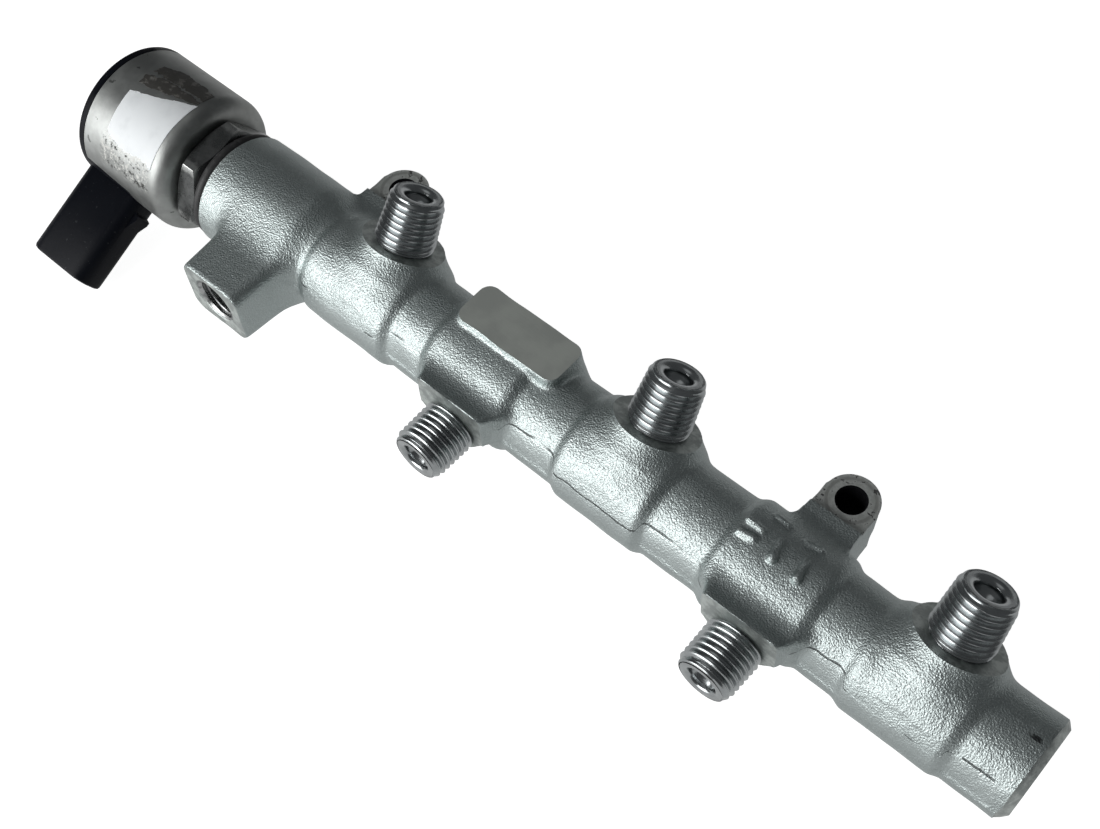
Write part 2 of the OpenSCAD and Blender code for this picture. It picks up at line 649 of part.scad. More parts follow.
// Moulded end disc and two-pole connector in one piece
module connector_cover() {
    color([0.04, 0.04, 0.045]) difference() {
        union() {
            // Disc over the can's end and the plug that fills it
            on_valve(d_can_end) rotate_extrude($fn = 96) polygon(concat([[0, 0], [can_d / 2, 0], [can_d / 2, disc_t - 1]],
                [for (a = [30:30:90]) [can_d / 2 - 1 + cos(a), disc_t - 1 + sin(a)]], [[0, disc_t]]));
            on_valve(d_cover) cylinder(r = can_in_r - seat_clear, h = cover_in + 1, $fn = 96);
            // Root through the can's notch
            intersection() {
                at_plug() translate([0, 0, root_from]) linear_extrude(can_d) root_outline(0);
                on_valve(d_can) cylinder(r = can_d / 2, h = d_can_end + 1 - d_can, $fn = 96);
            }
            // Shroud, cut to the curve of the can
            difference() {
                at_plug() translate([0, 0, root_from]) linear_extrude(plug_reach - root_from) rounded(plug_w, plug_t, plug_r);
                on_valve(d_can) cylinder(r = can_d / 2 + seat_clear, h = can_len, $fn = 96);
            }
            // Latch ramp for the mating plug
            at_plug() translate([plug_w / 2 - 0.5, 0, 21]) rotate([90, 0, 0]) linear_extrude(5, center = true)
                polygon([[0, 0], [2.4, 0.8], [2.4, 1.8], [0, 6.5]]);
        }
        // Socket
        at_plug() translate([0, 0, plug_reach - socket_depth]) linear_extrude(socket_depth + 1)
            rounded(plug_w - 2 * plug_wall, plug_t - 2 * plug_wall, plug_r - plug_wall + 0.4);
        // Pocket for the end of the armature sleeve
        on_valve(d_cover - 1) cylinder(r = sleeve_r + 0.2, h = d_sleeve_end - d_cover + 1.3, $fn = 96);
        // Slots of the terminals
        for (g = [-1, 1]) at_plug() terminal(g);
    }
}
pin_root = 3.2;
module terminal(g) {
    translate([g * pin_pitch / 2 - pin_w / 2, -pin_t / 2, plug_reach - socket_depth - pin_root])
        cube([pin_w, pin_t, pin_root + socket_depth - 4]);
}
module terminal_pin_a() { color([0.75, 0.72, 0.62]) at_plug() terminal(-1); }
module terminal_pin_b() { color([0.75, 0.72, 0.62]) at_plug() terminal(1); }

rail_body();
union_nut();
nut_seal_ring();
valve_body();
seat_insert();
valve_ball();
push_rod();
rod_guide();
armature();
stop_shim();
armature_sleeve();
valve_spring();
spring_plug();
valve_o_ring();
backup_ring();
coil_bobbin();
coil_winding();
front_yoke();
rear_yoke();
solenoid_can();
connector_cover();
terminal_pin_a();
terminal_pin_b();
front_coil_seal();
rear_coil_seal();
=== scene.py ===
import json
import math

import bmesh
import bpy
import numpy as np
from mathutils import Euler, Matrix, Vector


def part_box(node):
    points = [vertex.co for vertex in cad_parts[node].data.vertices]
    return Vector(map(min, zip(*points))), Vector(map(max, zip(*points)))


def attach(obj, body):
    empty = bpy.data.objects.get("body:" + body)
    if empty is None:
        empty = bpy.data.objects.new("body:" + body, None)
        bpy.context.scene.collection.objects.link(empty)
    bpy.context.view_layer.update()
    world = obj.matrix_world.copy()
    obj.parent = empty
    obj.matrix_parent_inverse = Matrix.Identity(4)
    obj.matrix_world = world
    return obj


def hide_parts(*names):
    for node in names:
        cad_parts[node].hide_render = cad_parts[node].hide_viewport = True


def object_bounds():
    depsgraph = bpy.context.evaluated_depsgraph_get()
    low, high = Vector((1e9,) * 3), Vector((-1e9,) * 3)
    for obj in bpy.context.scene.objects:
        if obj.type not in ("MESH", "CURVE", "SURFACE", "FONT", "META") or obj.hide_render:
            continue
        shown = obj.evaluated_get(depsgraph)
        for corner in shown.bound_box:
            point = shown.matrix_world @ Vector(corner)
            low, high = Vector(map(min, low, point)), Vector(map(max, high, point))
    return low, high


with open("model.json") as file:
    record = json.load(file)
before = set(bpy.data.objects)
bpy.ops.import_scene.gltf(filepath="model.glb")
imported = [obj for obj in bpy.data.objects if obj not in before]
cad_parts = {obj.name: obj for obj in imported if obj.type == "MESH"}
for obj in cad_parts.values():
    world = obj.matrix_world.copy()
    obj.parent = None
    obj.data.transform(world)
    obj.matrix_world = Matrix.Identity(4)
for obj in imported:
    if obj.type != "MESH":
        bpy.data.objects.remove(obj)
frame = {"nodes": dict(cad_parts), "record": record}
cad_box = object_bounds()
nodes = frame["nodes"]
mounts = {mount["name"]: mount for mount in frame["record"]["mounts"]}
mm = 0.001


# The photographer's camera, hand held above the rail's lower left flank and
# looking down it. Its place comes from the stubs' threads and mouths.
def shown(data, name):
    """Puts a mesh, a lamp or a camera in the scene."""
    obj = bpy.data.objects.new(name, data)
    bpy.context.scene.collection.objects.link(obj)
    return obj


PHOTO_WIDTH_PX = 1100
FOCAL_LENGTH_PX = 1528.4
CAMERA_PLACE = Vector((1.7, -127.25, 297.86)) * mm
CAMERA_TURN = Euler([math.radians(a) for a in (31.367, 2.613, 41.512)])

camera_data = bpy.data.cameras.new("photo_camera")
camera_data.sensor_width = 36
camera_data.lens = camera_data.sensor_width * FOCAL_LENGTH_PX / PHOTO_WIDTH_PX
camera_data.clip_start = 0.01
camera = shown(camera_data, "photo_camera")
camera.matrix_world = Matrix.LocRotScale(CAMERA_PLACE, CAMERA_TURN, None)
bpy.context.scene.camera = camera


# A node tree is written as formulas: a Field is a number or a direction that
# changes over a surface, and its sums and products are nodes in the tree.
class Field:
    def __init__(self, tree, socket):
        self.tree = tree
        self.socket = socket

    def of(self, operation, *others):
        return node(self.tree, "ShaderNodeMath", self, *others, operation=operation)

    def __add__(self, other):
        return self.of("ADD", other)

    def __sub__(self, other):
        return self.of("SUBTRACT", other)

    def __mul__(self, other):
        return self.of("MULTIPLY", other)

    def __truediv__(self, other):
        return self.of("DIVIDE", other)

    def least(self, other):
        return self.of("MINIMUM", other)

    def most(self, other):
        return self.of("MAXIMUM", other)

    def between(self, none, full):
        """0 at none, 1 at full, smooth in between and level beyond. Full may be the smaller one."""
        return node(self.tree, "ShaderNodeMapRange", self, none, full, 0, 1,
                    interpolation_type="SMOOTHSTEP")


def node(tree, kind, *values, out=0, **settings):
    """Adds one node, sets or links its inputs in order, and returns an output as a Field."""
    new = tree.nodes.new(kind)
    pairs = []
    for name, value in settings.items():
        if name in new.bl_rna.properties:
            setattr(new, name, value)
        else:
            pairs.append((new.inputs[name.replace("_", " ")], value))
    pairs += zip([socket for socket in new.inputs if socket.enabled], values)
    for socket, value in pairs:
        if isinstance(value, Field):
            tree.links.new(value.socket, socket)
        else:
            socket.default_value = value
    return Field(tree, new.outputs[out])


def outputs_of(field):
    """All outputs of the node that a field comes from."""
    return [Field(field.tree, socket) for socket in field.socket.node.outputs]


# The forging: one bar of micro-alloyed steel, hot forged in two dies, trimmed
# and shot blasted. It swells round each port, carries two bolt lugs, a marking
# pad and the return boss, and is only machined where something seats on it.
# Sizes are in mm, and places along the rail are counted from the sensor end.
def mount_at(name):
    """Distance from the sensor end, y and z of a mount."""
    x, y, z = mounts[name]["pos_m"]
    return -x / mm, y / mm, z / mm


rail_low, rail_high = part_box("rail_body")
RAIL_LEN = (rail_high.x - rail_low.x) / mm
OUTLET_AT = [mount_at(f"outlet_{i}")[0] for i in (1, 2, 3)]
SIDE_AT = [mount_at(f"side_stub_{i}")[0] for i in (1, 2)]
OUTLET_DIRECTION = Vector(mounts["outlet_1"]["axis"]).normalized()
OUTLET_LEAN = math.atan2(OUTLET_DIRECTION.y, OUTLET_DIRECTION.z)
RETURN_AT = mount_at("return_port")[0]
LUG_MIDDLE, LUG_Y, LUG_TOP = mount_at("rail_bolts")
bolts = mounts["rail_bolts"]["dims"]
BOLT_HOLE_R = bolts["hole_r_mm"]
LUG_AT = [LUG_MIDDLE + side * bolts["spacing_x_mm"] / 2 for side in (-1, 1)]

NECK_R = 11.7
NECK_SHIFT = -0.4
NECK_FLAT_TURN = math.radians(70.5)
NECK_FLAT_REACH = 11.93
FLASH_R = 12.2
FLASH_FROM, FLASH_TO = -5.5, 0.2
BARREL_R = 13.65
BARREL_LEN = 25.6
BARREL_RIM = 2.6
BARREL_SHIFT = 1.4
FIRST_BARREL_LESS = 0.4
LAST_BARREL_MORE = 3
HEAD_R = 15.2
HEAD_FROM = (196, 206.5)
RING_REACH = 14.8
RING_R = 9.9
FLARE = 0.32
FLARE_LEN = 5
SIDE_FACE = 16.4
SIDE_FOOT_HALF = 9.7
SIDE_FOOT_R = 7.3
SIDE_UP = 10.7
RETURN_FACE = 28.3
BOSS_HALF = (9.6, 8.5)
BOSS_LOWER = 0.5
LUG_THICK = 10.6
LUG_R = 6.4
PAD_AT = 142
PAD_Y = 5.2
PAD_TOP = 15
PAD_HALF = (14.9, 6)
FILLET = {
    "flash": 1.1, "barrel": 1.2, "head": 3, "ring": 4.2, "boss": 4.5, "lug": 1.8, "pad": 1.1, "nib": 0.5}
STOCK = 0.3
WAVE_HEIGHT = 0.022
SAW_ALLOWANCE = 0.8
CELL = 0.56

# Start, end and radius of each raised mark
NIBS = [
    ((-74.2, 1.5, 13.55), (-70.6, 1.4, 13.6), 0.85), ((-74.0, -1.9, 13.5), (-70.9, -1.4, 13.6), 1.0),
    ((-66.2, 1.6, 13.95), (-65.4, -2.0, 13.9), 0.85), ((-65.2, -2.4, 13.7), (-65.1, -2.6, 13.7), 1.15),
    ((-59.4, 1.3, 14.0), (-58.7, -2.5, 13.9), 0.85), ((-58.6, -2.9, 13.65), (-58.5, -3.2, 13.65), 1.15),
    ((-70.6, 6.6, 11.8), (-67.2, 6.5, 11.8), 0.7), ((-62.2, 5.5, 12.15), (-58.8, 6.1, 12.05), 0.8)]


def joined(a, b, radius):
    """Union of two distance fields with a fillet between them."""
    share = np.clip(0.5 + 0.5 * (b - a) / radius, 0, 1)
    return b + (a - b) * share - radius * share * (1 - share)


def cut_to(a, b, radius):
    """What two distance fields share, with a rounded edge."""
    return -joined(-a, -b, radius)


def rounded_pair(a, b, corner):
    """Distance to where two faces meet in a round corner."""
    return np.hypot(np.maximum(a, 0), np.maximum(b, 0)) + np.minimum(np.maximum(a, b), 0) - corner


def round_block(u, v, w, half, corner, grow=0.0):
    """Block whose four upright edges are rounded, growing by grow per length down from w = 0."""
    spread = np.maximum(-w, 0) * grow
    return rounded_pair(
        np.abs(u) - (half[0] + spread - corner), np.abs(v) - (half[1] + spread - corner), corner)


def capsule(p, start, end, radius):
    start, end = np.array(start), np.array(end)
    along = np.clip(((p - start) @ (end - start)) / ((end - start) @ (end - start)), 0, 1)
    return np.linalg.norm(p - start - along[..., None] * (end - start), axis=-1) - radius


def forged_shape(x, y, z):
    """Distance to the raw forging, negative inside it."""
    s = -x
    # Neck, with a flat where the flash was sheared off and a low step along the parting line
    across = np.hypot(y - NECK_SHIFT, z)
    flat = z * math.cos(NECK_FLAT_TURN) - y * math.sin(NECK_FLAT_TURN) - NECK_FLAT_REACH
    shape = cut_to(across - NECK_R, flat, 0.3)
    step = np.maximum(np.maximum(across - FLASH_R, z - FLASH_TO), FLASH_FROM - z)
    shape = joined(shape, np.maximum(np.maximum(step, y + 3), s - HEAD_FROM[1]), FILLET["flash"])
    for middle in OUTLET_AT + SIDE_AT:
        radius = BARREL_R - (FIRST_BARREL_LESS if middle == OUTLET_AT[0] else 0)
        more = LAST_BARREL_MORE / 2 if middle == OUTLET_AT[-1] else 0
        along = np.abs(s - middle - BARREL_SHIFT - more) - (BARREL_LEN / 2 + more - BARREL_RIM)
        barrel = rounded_pair(along, across - (radius - BARREL_RIM), BARREL_RIM)
        shape = joined(shape, barrel, FILLET["barrel"])
    rise = np.clip((s - HEAD_FROM[0]) / (HEAD_FROM[1] - HEAD_FROM[0]), 0, 1)
    head = np.hypot(y, z) - NECK_R + 1 - (HEAD_R - NECK_R + 1) * rise * rise * (3 - 2 * rise)
    shape = joined(shape, head * 0.88, FILLET["head"])

    # Outlet feet: flared rings round the outlet axes
    sin, cos = OUTLET_DIRECTION.y, OUTLET_DIRECTION.z
    reach = y * sin + z * cos
    side = y * cos - z * sin
    for middle in OUTLET_AT:
        flare = np.hypot(s - middle, side) - RING_R - FLARE * np.clip(RING_REACH - reach, 0, FLARE_LEN)
        flare = flare / math.hypot(1, FLARE)
        foot = np.maximum(flare, np.maximum(reach - RING_REACH - 1.2, 4 - reach))
        shape = joined(shape, foot, FILLET["ring"])

    # Side feet: square above, drawn in to the stub below, and spreading towards the rail
    slant_u, slant_v = 0.783, 0.622
    for middle in SIDE_AT:
        inward = np.maximum(y + SIDE_FACE, 0)
        spread = np.minimum(0.42 * inward, 2.9)
        u, wide = np.abs(s - middle), SIDE_FOOT_HALF + spread
        up = SIDE_UP - 0.36 * inward
        square = round_block(u, z - up / 2, 0 * z, (wide, up / 2), 1.6)
        low = np.where(-z * slant_u < u * slant_v, u * slant_u - z * slant_v, np.hypot(u, z)) - SIDE_FOOT_R
        low = np.maximum(low - 0.35 * spread, u - wide)
        foot = np.where(z > up / 2, square, np.where(z > 0, u - wide, low))
        foot = np.maximum(foot, y + 4)
        fillet = 1.9 + 1.4 * np.clip((z - 3) / 4, 0, 1)
        shape = joined(shape, cut_to(foot, -y - SIDE_FACE - STOCK, 0.8), fillet)

    # Return boss
    boss = round_block(s - RETURN_AT, z + BOSS_LOWER, -y - RETURN_FACE, BOSS_HALF, 3.4, 0.05)
    boss = np.maximum(cut_to(boss, -y - RETURN_FACE - STOCK, 1.2), y + 4)
    shape = joined(shape, boss, FILLET["boss"])

    # Bolt lugs, thicker below than the solids' ones so that no light passes the bolt hole
    for middle in LUG_AT:
        tip = np.hypot(s - middle, y - LUG_Y) - LUG_R + 0.07 * np.maximum(LUG_TOP - z, 0)
        root = np.maximum(np.abs(s - middle) - LUG_R - 0.05 * (LUG_Y - y), y - LUG_Y)
        middle_z = LUG_TOP - LUG_THICK / 2 - 0.7
        lift = 0.2 * np.maximum(LUG_Y - 8.5 - y, 0)
        slab = np.abs(z - middle_z) - LUG_THICK / 2 - 1.8 - lift
        lug = np.maximum(joined(tip, root, 1), np.maximum(slab, -y))
        shape = joined(shape, lug, FILLET["lug"])

    # Marking pad
    pad = round_block(s - PAD_AT, y - PAD_Y, z - PAD_TOP, PAD_HALF, 3, 0.1)
    pad = np.maximum(cut_to(pad, z - PAD_TOP - 0.35, 1), 2 - z)
    shape = joined(shape, pad, FILLET["pad"])

    # Short raised marks cut into the upper die beside the first lug
    p = np.stack([x, y, z], axis=-1)
    for start, end, radius in NIBS:
        shape = joined(shape, capsule(p, start, end, radius), FILLET["nib"])

    # Forging dies leave long shallow waves in the skin
    rng = np.random.default_rng(7)
    for wave in range(9):
        direction = rng.normal(size=3)
        direction *= 2 * math.pi / rng.uniform(7, 17) / np.linalg.norm(direction)
        phase = rng.uniform(0, 6.28)
        turn = x * direction[0] + y * direction[1] + z * direction[2] + phase
        shape = shape + WAVE_HEIGHT * np.sin(turn)
    # The saw leaves a little to face off at both ends
    return np.maximum(shape, np.maximum(s - RAIL_LEN, -s) - SAW_ALLOWANCE)


def skin_of(shape, low, high, cell):
    """Quads on the zero surface of a distance field: one corner in each cell that it crosses."""
    steps = [int(math.ceil((b - a) / cell)) + 1 for a, b in zip(low, high)]
    ticks = [low[i] + cell * np.arange(steps[i]) for i in range(3)]
    value = shape(*np.meshgrid(*ticks, indexing="ij")).astype(np.float32)
    inside = value < 0
    cells = tuple(n - 1 for n in steps)
    hits = np.zeros(cells, np.int8)
    place = np.zeros(cells + (3,), np.float32)
    for axis in range(3):
        near, far = [slice(None)] * 3, [slice(None)] * 3
        near[axis], far[axis] = slice(None, -1), slice(1, None)
        a, b = value[tuple(near)], value[tuple(far)]
        crossed = inside[tuple(near)] != inside[tuple(far)]
        part = np.where(crossed, a / np.where(crossed, a - b, 1), 0)
        others = [i for i in range(3) if i != axis]
        for u in (0, 1):
            for v in (0, 1):
                pick = [slice(None)] * 3
                pick[others[0]] = slice(u, u - 1 or None)
                pick[others[1]] = slice(v, v - 1 or None)
                pick = tuple(pick)
                hits += crossed[pick]
                place[..., axis] += part[pick]
                place[..., others[0]] += u * crossed[pick]
                place[..., others[1]] += v * crossed[pick]
    used = hits > 0
    number = np.full(cells, -1, np.int64)
    number[used] = np.arange(used.sum())
    points = (np.argwhere(used) + place[used] / hits[used][:, None]) * cell + np.array(low)
    quads = []
    for axis in range(3):
        b, c = (axis + 1) % 3, (axis + 2) % 3
        near, far = [slice(1, -1)] * 3, [slice(1, -1)] * 3
        near[axis], far[axis] = slice(None, -1), slice(1, None)
        start, end = inside[tuple(near)], inside[tuple(far)]
        for outward in (True, False):
            edge = np.argwhere((start & ~end) if outward else (end & ~start))
            edge[:, b] += 1
            edge[:, c] += 1
            loop = []
            for db, dc in ((1, 1), (0, 1), (0, 0), (1, 0)):
                cell_at = edge.copy()
                cell_at[:, b] -= db
                cell_at[:, c] -= dc
                loop.append(number[tuple(cell_at.T)])
            quads.append(np.stack(loop if outward else loop[::-1], axis=1))
    # Each corner is drawn onto the surface along its slope
    nudge = 0.03
    for _ in range(2):
        here = shape(*points.T)
        slope = np.stack([(shape(*(points + nudge * e).T) - here) / nudge for e in np.eye(3)], axis=1)
        step = here[:, None] * slope / np.maximum((slope ** 2).sum(1), 0.2)[:, None]
        points = points - np.clip(step, -0.4 * cell, 0.4 * cell)
    return points, np.concatenate(quads)


def mesh_object(name, points, faces, place=Matrix()):
    """Object from points in mm, moved by place, in mm too. From here on it's in metres."""
    mesh = bpy.data.meshes.new(name)
    mesh.from_pydata([tuple(map(float, p)) for p in points], [], [tuple(map(int, f)) for f in faces])
    mesh.transform(Matrix.Scale(mm, 4) @ place)
    mesh.update()
    return shown(mesh, name)


grid_low = (-RAIL_LEN - 1.5, -RETURN_FACE - 2.5, -17)
grid_high = (1.5, LUG_Y + LUG_R + 2, 21)
forging = mesh_object("rail_forging", *skin_of(forged_shape, grid_low, grid_high, CELL))


# Turned pieces and cutters have their local Z along the rail, from the sensor end, if not told otherwise
ALONG_RAIL = Matrix.Rotation(-math.pi / 2, 4, "Y")


def lofted(name, loops, place=Matrix(), ring=False):
    """Closed skin over loops with the same count of points, flat at both ends or closed to a ring."""
    count = len(loops[0])
    faces = []
    if not ring:
        faces = [tuple(range(count))[::-1], tuple((len(loops) - 1) * count + i for i in range(count))]
    for k in range(len(loops) if ring else len(loops) - 1):
        here, there = k * count, (k + 1) % len(loops) * count
        for i in range(count):
            j = (i + 1) % count
            faces.append((here + i, here + j, there + j, there + i))
    obj = mesh_object(name, [p for loop in loops for p in loop], faces, place)
    work = bmesh.new()
    work.from_mesh(obj.data)
    bmesh.ops.remove_doubles(work, verts=work.verts, dist=1e-7)
    bmesh.ops.recalc_face_normals(work, faces=work.faces)
    work.to_mesh(obj.data)
    work.free()
    return obj


def turned_object(name, profile, place=ALONG_RAIL, around=64):
    """A closed profile of (radius, height) turned about Z."""
    angles = [2 * math.pi * k / around for k in range(around)]
    return lofted(name, [[(r * math.cos(a), r * math.sin(a), h) for r, h in profile] for a in angles],
                  place, ring=True)


def block_object(name, low, high):
    corners = [(low[0], low[1]), (high[0], low[1]), (high[0], high[1]), (low[0], high[1])]
    return lofted(name, [[(x, y, z) for x, y in corners] for z in (low[2], high[2])])


def rod(radius, low, high):
    """Profile of a plain rod."""
    return [(0, low), (radius, low), (radius, high), (0, high)]


def at_outlet(s):
    return Matrix.Translation((-s, 0, 0)) @ Matrix.Rotation(-OUTLET_LEAN, 4, "X")


def at_side(s):
    return Matrix.Translation((-s, 0, 0)) @ Matrix.Rotation(math.pi / 2, 4, "X")


def finished(obj):
    """Applies an object's modifiers."""
    depsgraph = bpy.context.evaluated_depsgraph_get()
    mesh = bpy.data.meshes.new_from_object(obj.evaluated_get(depsgraph), depsgraph=depsgraph)
    obj.modifiers.clear()
    obj.data = mesh
    mesh.name = obj.name


def worked(obj, tool, operation="DIFFERENCE"):
    """Cuts obj with tool, or joins the two, and throws the tool away."""
    step = obj.modifiers.new("work", "BOOLEAN")
    step.operation = operation
    step.solver = "MANIFOLD"
    step.object = tool
    finished(obj)
    bpy.data.objects.remove(tool)


def soft_and_sharp(obj, angle):
    """Smooth shading that breaks where faces meet at more than angle degrees."""
    obj.data.polygons.foreach_set("use_smooth", [True] * len(obj.data.polygons))
    obj.data.set_sharp_from_angle(angle=math.radians(angle))


# Looks: noise, colour coats and relief over a piece. Textures see the place on
# the piece in metres, formulas see it in mm.
def place_in(tree):
    """Object coordinates, which stay with the piece."""
    return node(tree, "ShaderNodeTexCoord", out="Object")


def sides_of(tree, shift=(0, 0, 0), turn=0.0, stretch=(1, 1, 1)):
    """x, y and z in mm, first stretched, then turned about Z, then shifted."""
    placed = node(tree, "ShaderNodeMapping", Vector=place_in(tree), Location=shift,
                  Rotation=(0, 0, turn), Scale=[share / mm for share in stretch])
    return outputs_of(node(tree, "ShaderNodeSeparateXYZ", placed))


def reach_of(a, b):
    return (a * a + b * b).of("SQRT")


def noise(tree, scale, detail, roughness=0.5, along=(1, 1, 1)):
    """Noise with scale cells a metre, drawn out where along is below 1."""
    place = node(tree, "ShaderNodeMapping", Vector=place_in(tree), Scale=along)
    return node(tree, "ShaderNodeTexNoise", Vector=place, Scale=scale, Detail=detail, Roughness=roughness)


class Look:
    """A Principled material whose colour is laid on in coats."""

    def __init__(self, name, metallic, roughness):
        self.material = bpy.data.materials.new(name)
        self.material.use_nodes = True
        self.tree = self.material.node_tree
        self.inputs = self.tree.nodes["Principled BSDF"].inputs
        self.inputs["Metallic"].default_value = metallic
        self.inputs["Roughness"].default_value = roughness

    def noise(self, *sizes, **more):
        return noise(self.tree, *sizes, **more)

    def set(self, name, field):
        self.tree.links.new(field.socket, self.inputs[name])

    def tint(self, share, a, b):
        """Colour a where share is 0 and b where it is 1. Viewers without nodes show a."""
        self.inputs["Base Color"].default_value = (*a, 1)
        self.over(share, b, under=a)

    def over(self, share, color, under=None):
        """One more coat, there where share is 1."""
        mix = self.tree.nodes.new("ShaderNodeMix")
        mix.data_type = "RGBA"
        self.tree.links.new(share.socket, mix.inputs[0])
        if under:
            mix.inputs[6].default_value = (*under, 1)
        else:
            self.tree.links.new(self.coats, mix.inputs[6])
        mix.inputs[7].default_value = (*color, 1)
        self.coats = mix.outputs[2]
        self.tree.links.new(self.coats, self.inputs["Base Color"])

    def bump(self, height, distance, strength=1.0):
        """Relief as high as distance, in mm."""
        self.set("Normal", node(
            self.tree, "ShaderNodeBump", Height=height, Distance=distance * mm, Strength=strength))


def group_of(name, inputs, outputs):
    """Empty shader node group with named inputs and outputs."""
    tree = bpy.data.node_groups.new(name, "ShaderNodeTree")
    for label, default in inputs.items():
        socket = tree.interface.new_socket(label, in_out="INPUT", socket_type="NodeSocketFloat")
        socket.default_value = default
    for label in outputs:
        tree.interface.new_socket(label, in_out="OUTPUT", socket_type="NodeSocketFloat")
    entry = tree.nodes.new("NodeGroupInput")
    leave = tree.nodes.new("NodeGroupOutput")
    return tree, {label: Field(tree, entry.outputs[label]) for label in inputs}, leave


def use_group(look, group, out, **inputs):
    new = look.tree.nodes.new("ShaderNodeGroup")
    new.node_tree = group
    for label, value in inputs.items():
        new.inputs[label.replace("_", " ")].default_value = value
    return Field(look.tree, new.outputs[out])


# Shot blasting peens the whole skin with small overlapping dents.
blast, given, leave = group_of("blasted_skin", {"Dent size": 0.7, "Depth": 1}, ["Height", "Glint"])
per_dent = (given["Dent size"] * mm).of("POWER", -1)
dents = node(blast, "ShaderNodeTexVoronoi", Vector=place_in(blast), Scale=per_dent * 1.3,
             feature="SMOOTH_F1", Smoothness=0.6)
fine = noise(blast, per_dent * 2.2, 2, 0.6)
peened = noise(blast, per_dent, 1.5) * 0.5 + dents * 0.45 + fine * 0.22
peened = peened + noise(blast, per_dent * 0.25, 1) * 0.5
blast.links.new((peened * given["Depth"]).socket, leave.inputs["Height"])
blast.links.new(fine.between(0.5, 0.72).socket, leave.inputs["Glint"])


# The forged skin, with the sheared flats' fine shear marks, the dark burr line
# above them and one dab of an inspector's ink near the sensor end.
look = forged_steel = Look("forged_steel", 1.0, 0.42)
x, y, z = sides_of(look.tree)
wander = look.noise(240, 3)
breaks = look.noise(90, 2)
from_axis = reach_of(y - NECK_SHIFT, z)
above = z - from_axis.between(12.4, 13.2) * -2.1 - 7 + (wander - 0.5) * 1.2
flank = y.between(-6, -7) * x.between(-2, -5) * x.between(-199, -196) * from_axis.between(14.3, 14.1)
burr = above.of("ABSOLUTE").between(0.22, 0.1) * flank * breaks.between(0.47, 0.55)
sheared = above.between(0, -0.4) * z.between(0.7, 1.1) * flank
shear_marks = look.noise(1300, 3, along=(1, 0.12, 0.12))
DENT = 0.5
height = use_group(look, blast, "Height", Dent_size=DENT, Depth=1)
height = (height - 0.85) * (sheared * -0.25 + 1) + shear_marks * sheared * 0.25 - burr * 1.6
look.bump(height, 0.235)
glint = use_group(look, blast, "Glint", Dent_size=DENT)
look.tint(glint, (0.40, 0.445, 0.44), (0.555, 0.61, 0.605))
look.over(sheared * 0.25, (0.53, 0.58, 0.575))
look.over(burr * 0.85, (0.05, 0.055, 0.055))
dab_x, dab_y, _ = sides_of(look.tree, shift=(3.8, 1.7, 0), turn=0.55, stretch=(1, 2.6, 1))
ink = reach_of(dab_x, dab_y).between(1.8, 1.4) * z.between(9.5, 10)
look.over(ink * wander.between(0.36, 0.44) * 0.85, (0.02, 0.02, 0.022))
look.set("Roughness", sheared * -0.03 + 0.46)

# Faces that were cut: turned or milled, a little stained
look = cut_steel = Look("cut_steel", 1.0, 0.5)
look.bump(look.noise(2600, 2), 0.03)
stain = look.noise(330, 4, 0.65)
look.tint(stain.between(0.40, 0.64), (0.36, 0.39, 0.38), (0.58, 0.62, 0.60))

# Bolt seats: milled, with the print of the bolt heads and a few scorched specks
look = seat_steel = Look("seat_steel", 0.45, 0.6)
x, y, z = sides_of(look.tree)
from_bolt = reach_of((x + LUG_MIDDLE).of("ABSOLUTE") - (LUG_AT[1] - LUG_AT[0]) / 2, y - LUG_Y)
scuffs = look.noise(700, 4, 0.65)
print_ring = from_bolt.between(4.9, 5.2) * from_bolt.between(6.0, 5.6)
look.tint(scuffs.between(0.4, 0.6), (0.44, 0.46, 0.44), (0.56, 0.58, 0.56))
look.over(print_ring * 0.45, (0.20, 0.20, 0.19))
look.over(scuffs.between(0.57, 0.61) * from_bolt.between(3.6, 4.4) * 0.9, (0.05, 0.05, 0.05))
look.bump(scuffs + print_ring * -0.6, 0.04)

# Bolt holes: drilled, their walls painted near-black and without specular reflection: painted shade for the
# dark hole
look = oiled_bore = Look("oiled_bore", 0.0, 0.8)
look.inputs["Specular IOR Level"].default_value = 0
bore_mottle = look.noise(900, 3)
look.tint(bore_mottle, (0.004, 0.004, 0.005), (0.012, 0.012, 0.013))
look.bump(bore_mottle, 0.05)

# The marking pad's satin foil, left bare
look = pad_foil = Look("pad_foil", 0.6, 0.5)
brushed = look.noise(2200, 3, along=(0.2, 1, 1))
clouded = look.noise(140, 3)
look.tint(clouded.between(0.35, 0.65), (0.46, 0.485, 0.455), (0.53, 0.56, 0.52))
look.set("Roughness", brushed * 0.14 + 0.42)
look.bump(brushed * 0.5 + clouded * 0.6, 0.03)


# Machining: each cutter removes what lies beyond a seat, and bores it. The
# faces that it leaves take its finish, by its place in the list of materials.
AIR = 8
PORT_BORE_R = 6.0
THREAD_CREST_R = 5.25
SENSOR_DEPTH = 14
GALLERY_R = 4
NUT_BORE_R = 11.15
NUT_BORE_DEPTH = 13
GROUND_BORE_R = 7.65
GROUND_BORE_DEPTH = 24
RETURN_CUT_R = 15
RETURN_DRILL_R = 2.5
LUG_SEAT_FROM = LUG_Y - LUG_R + 0.6

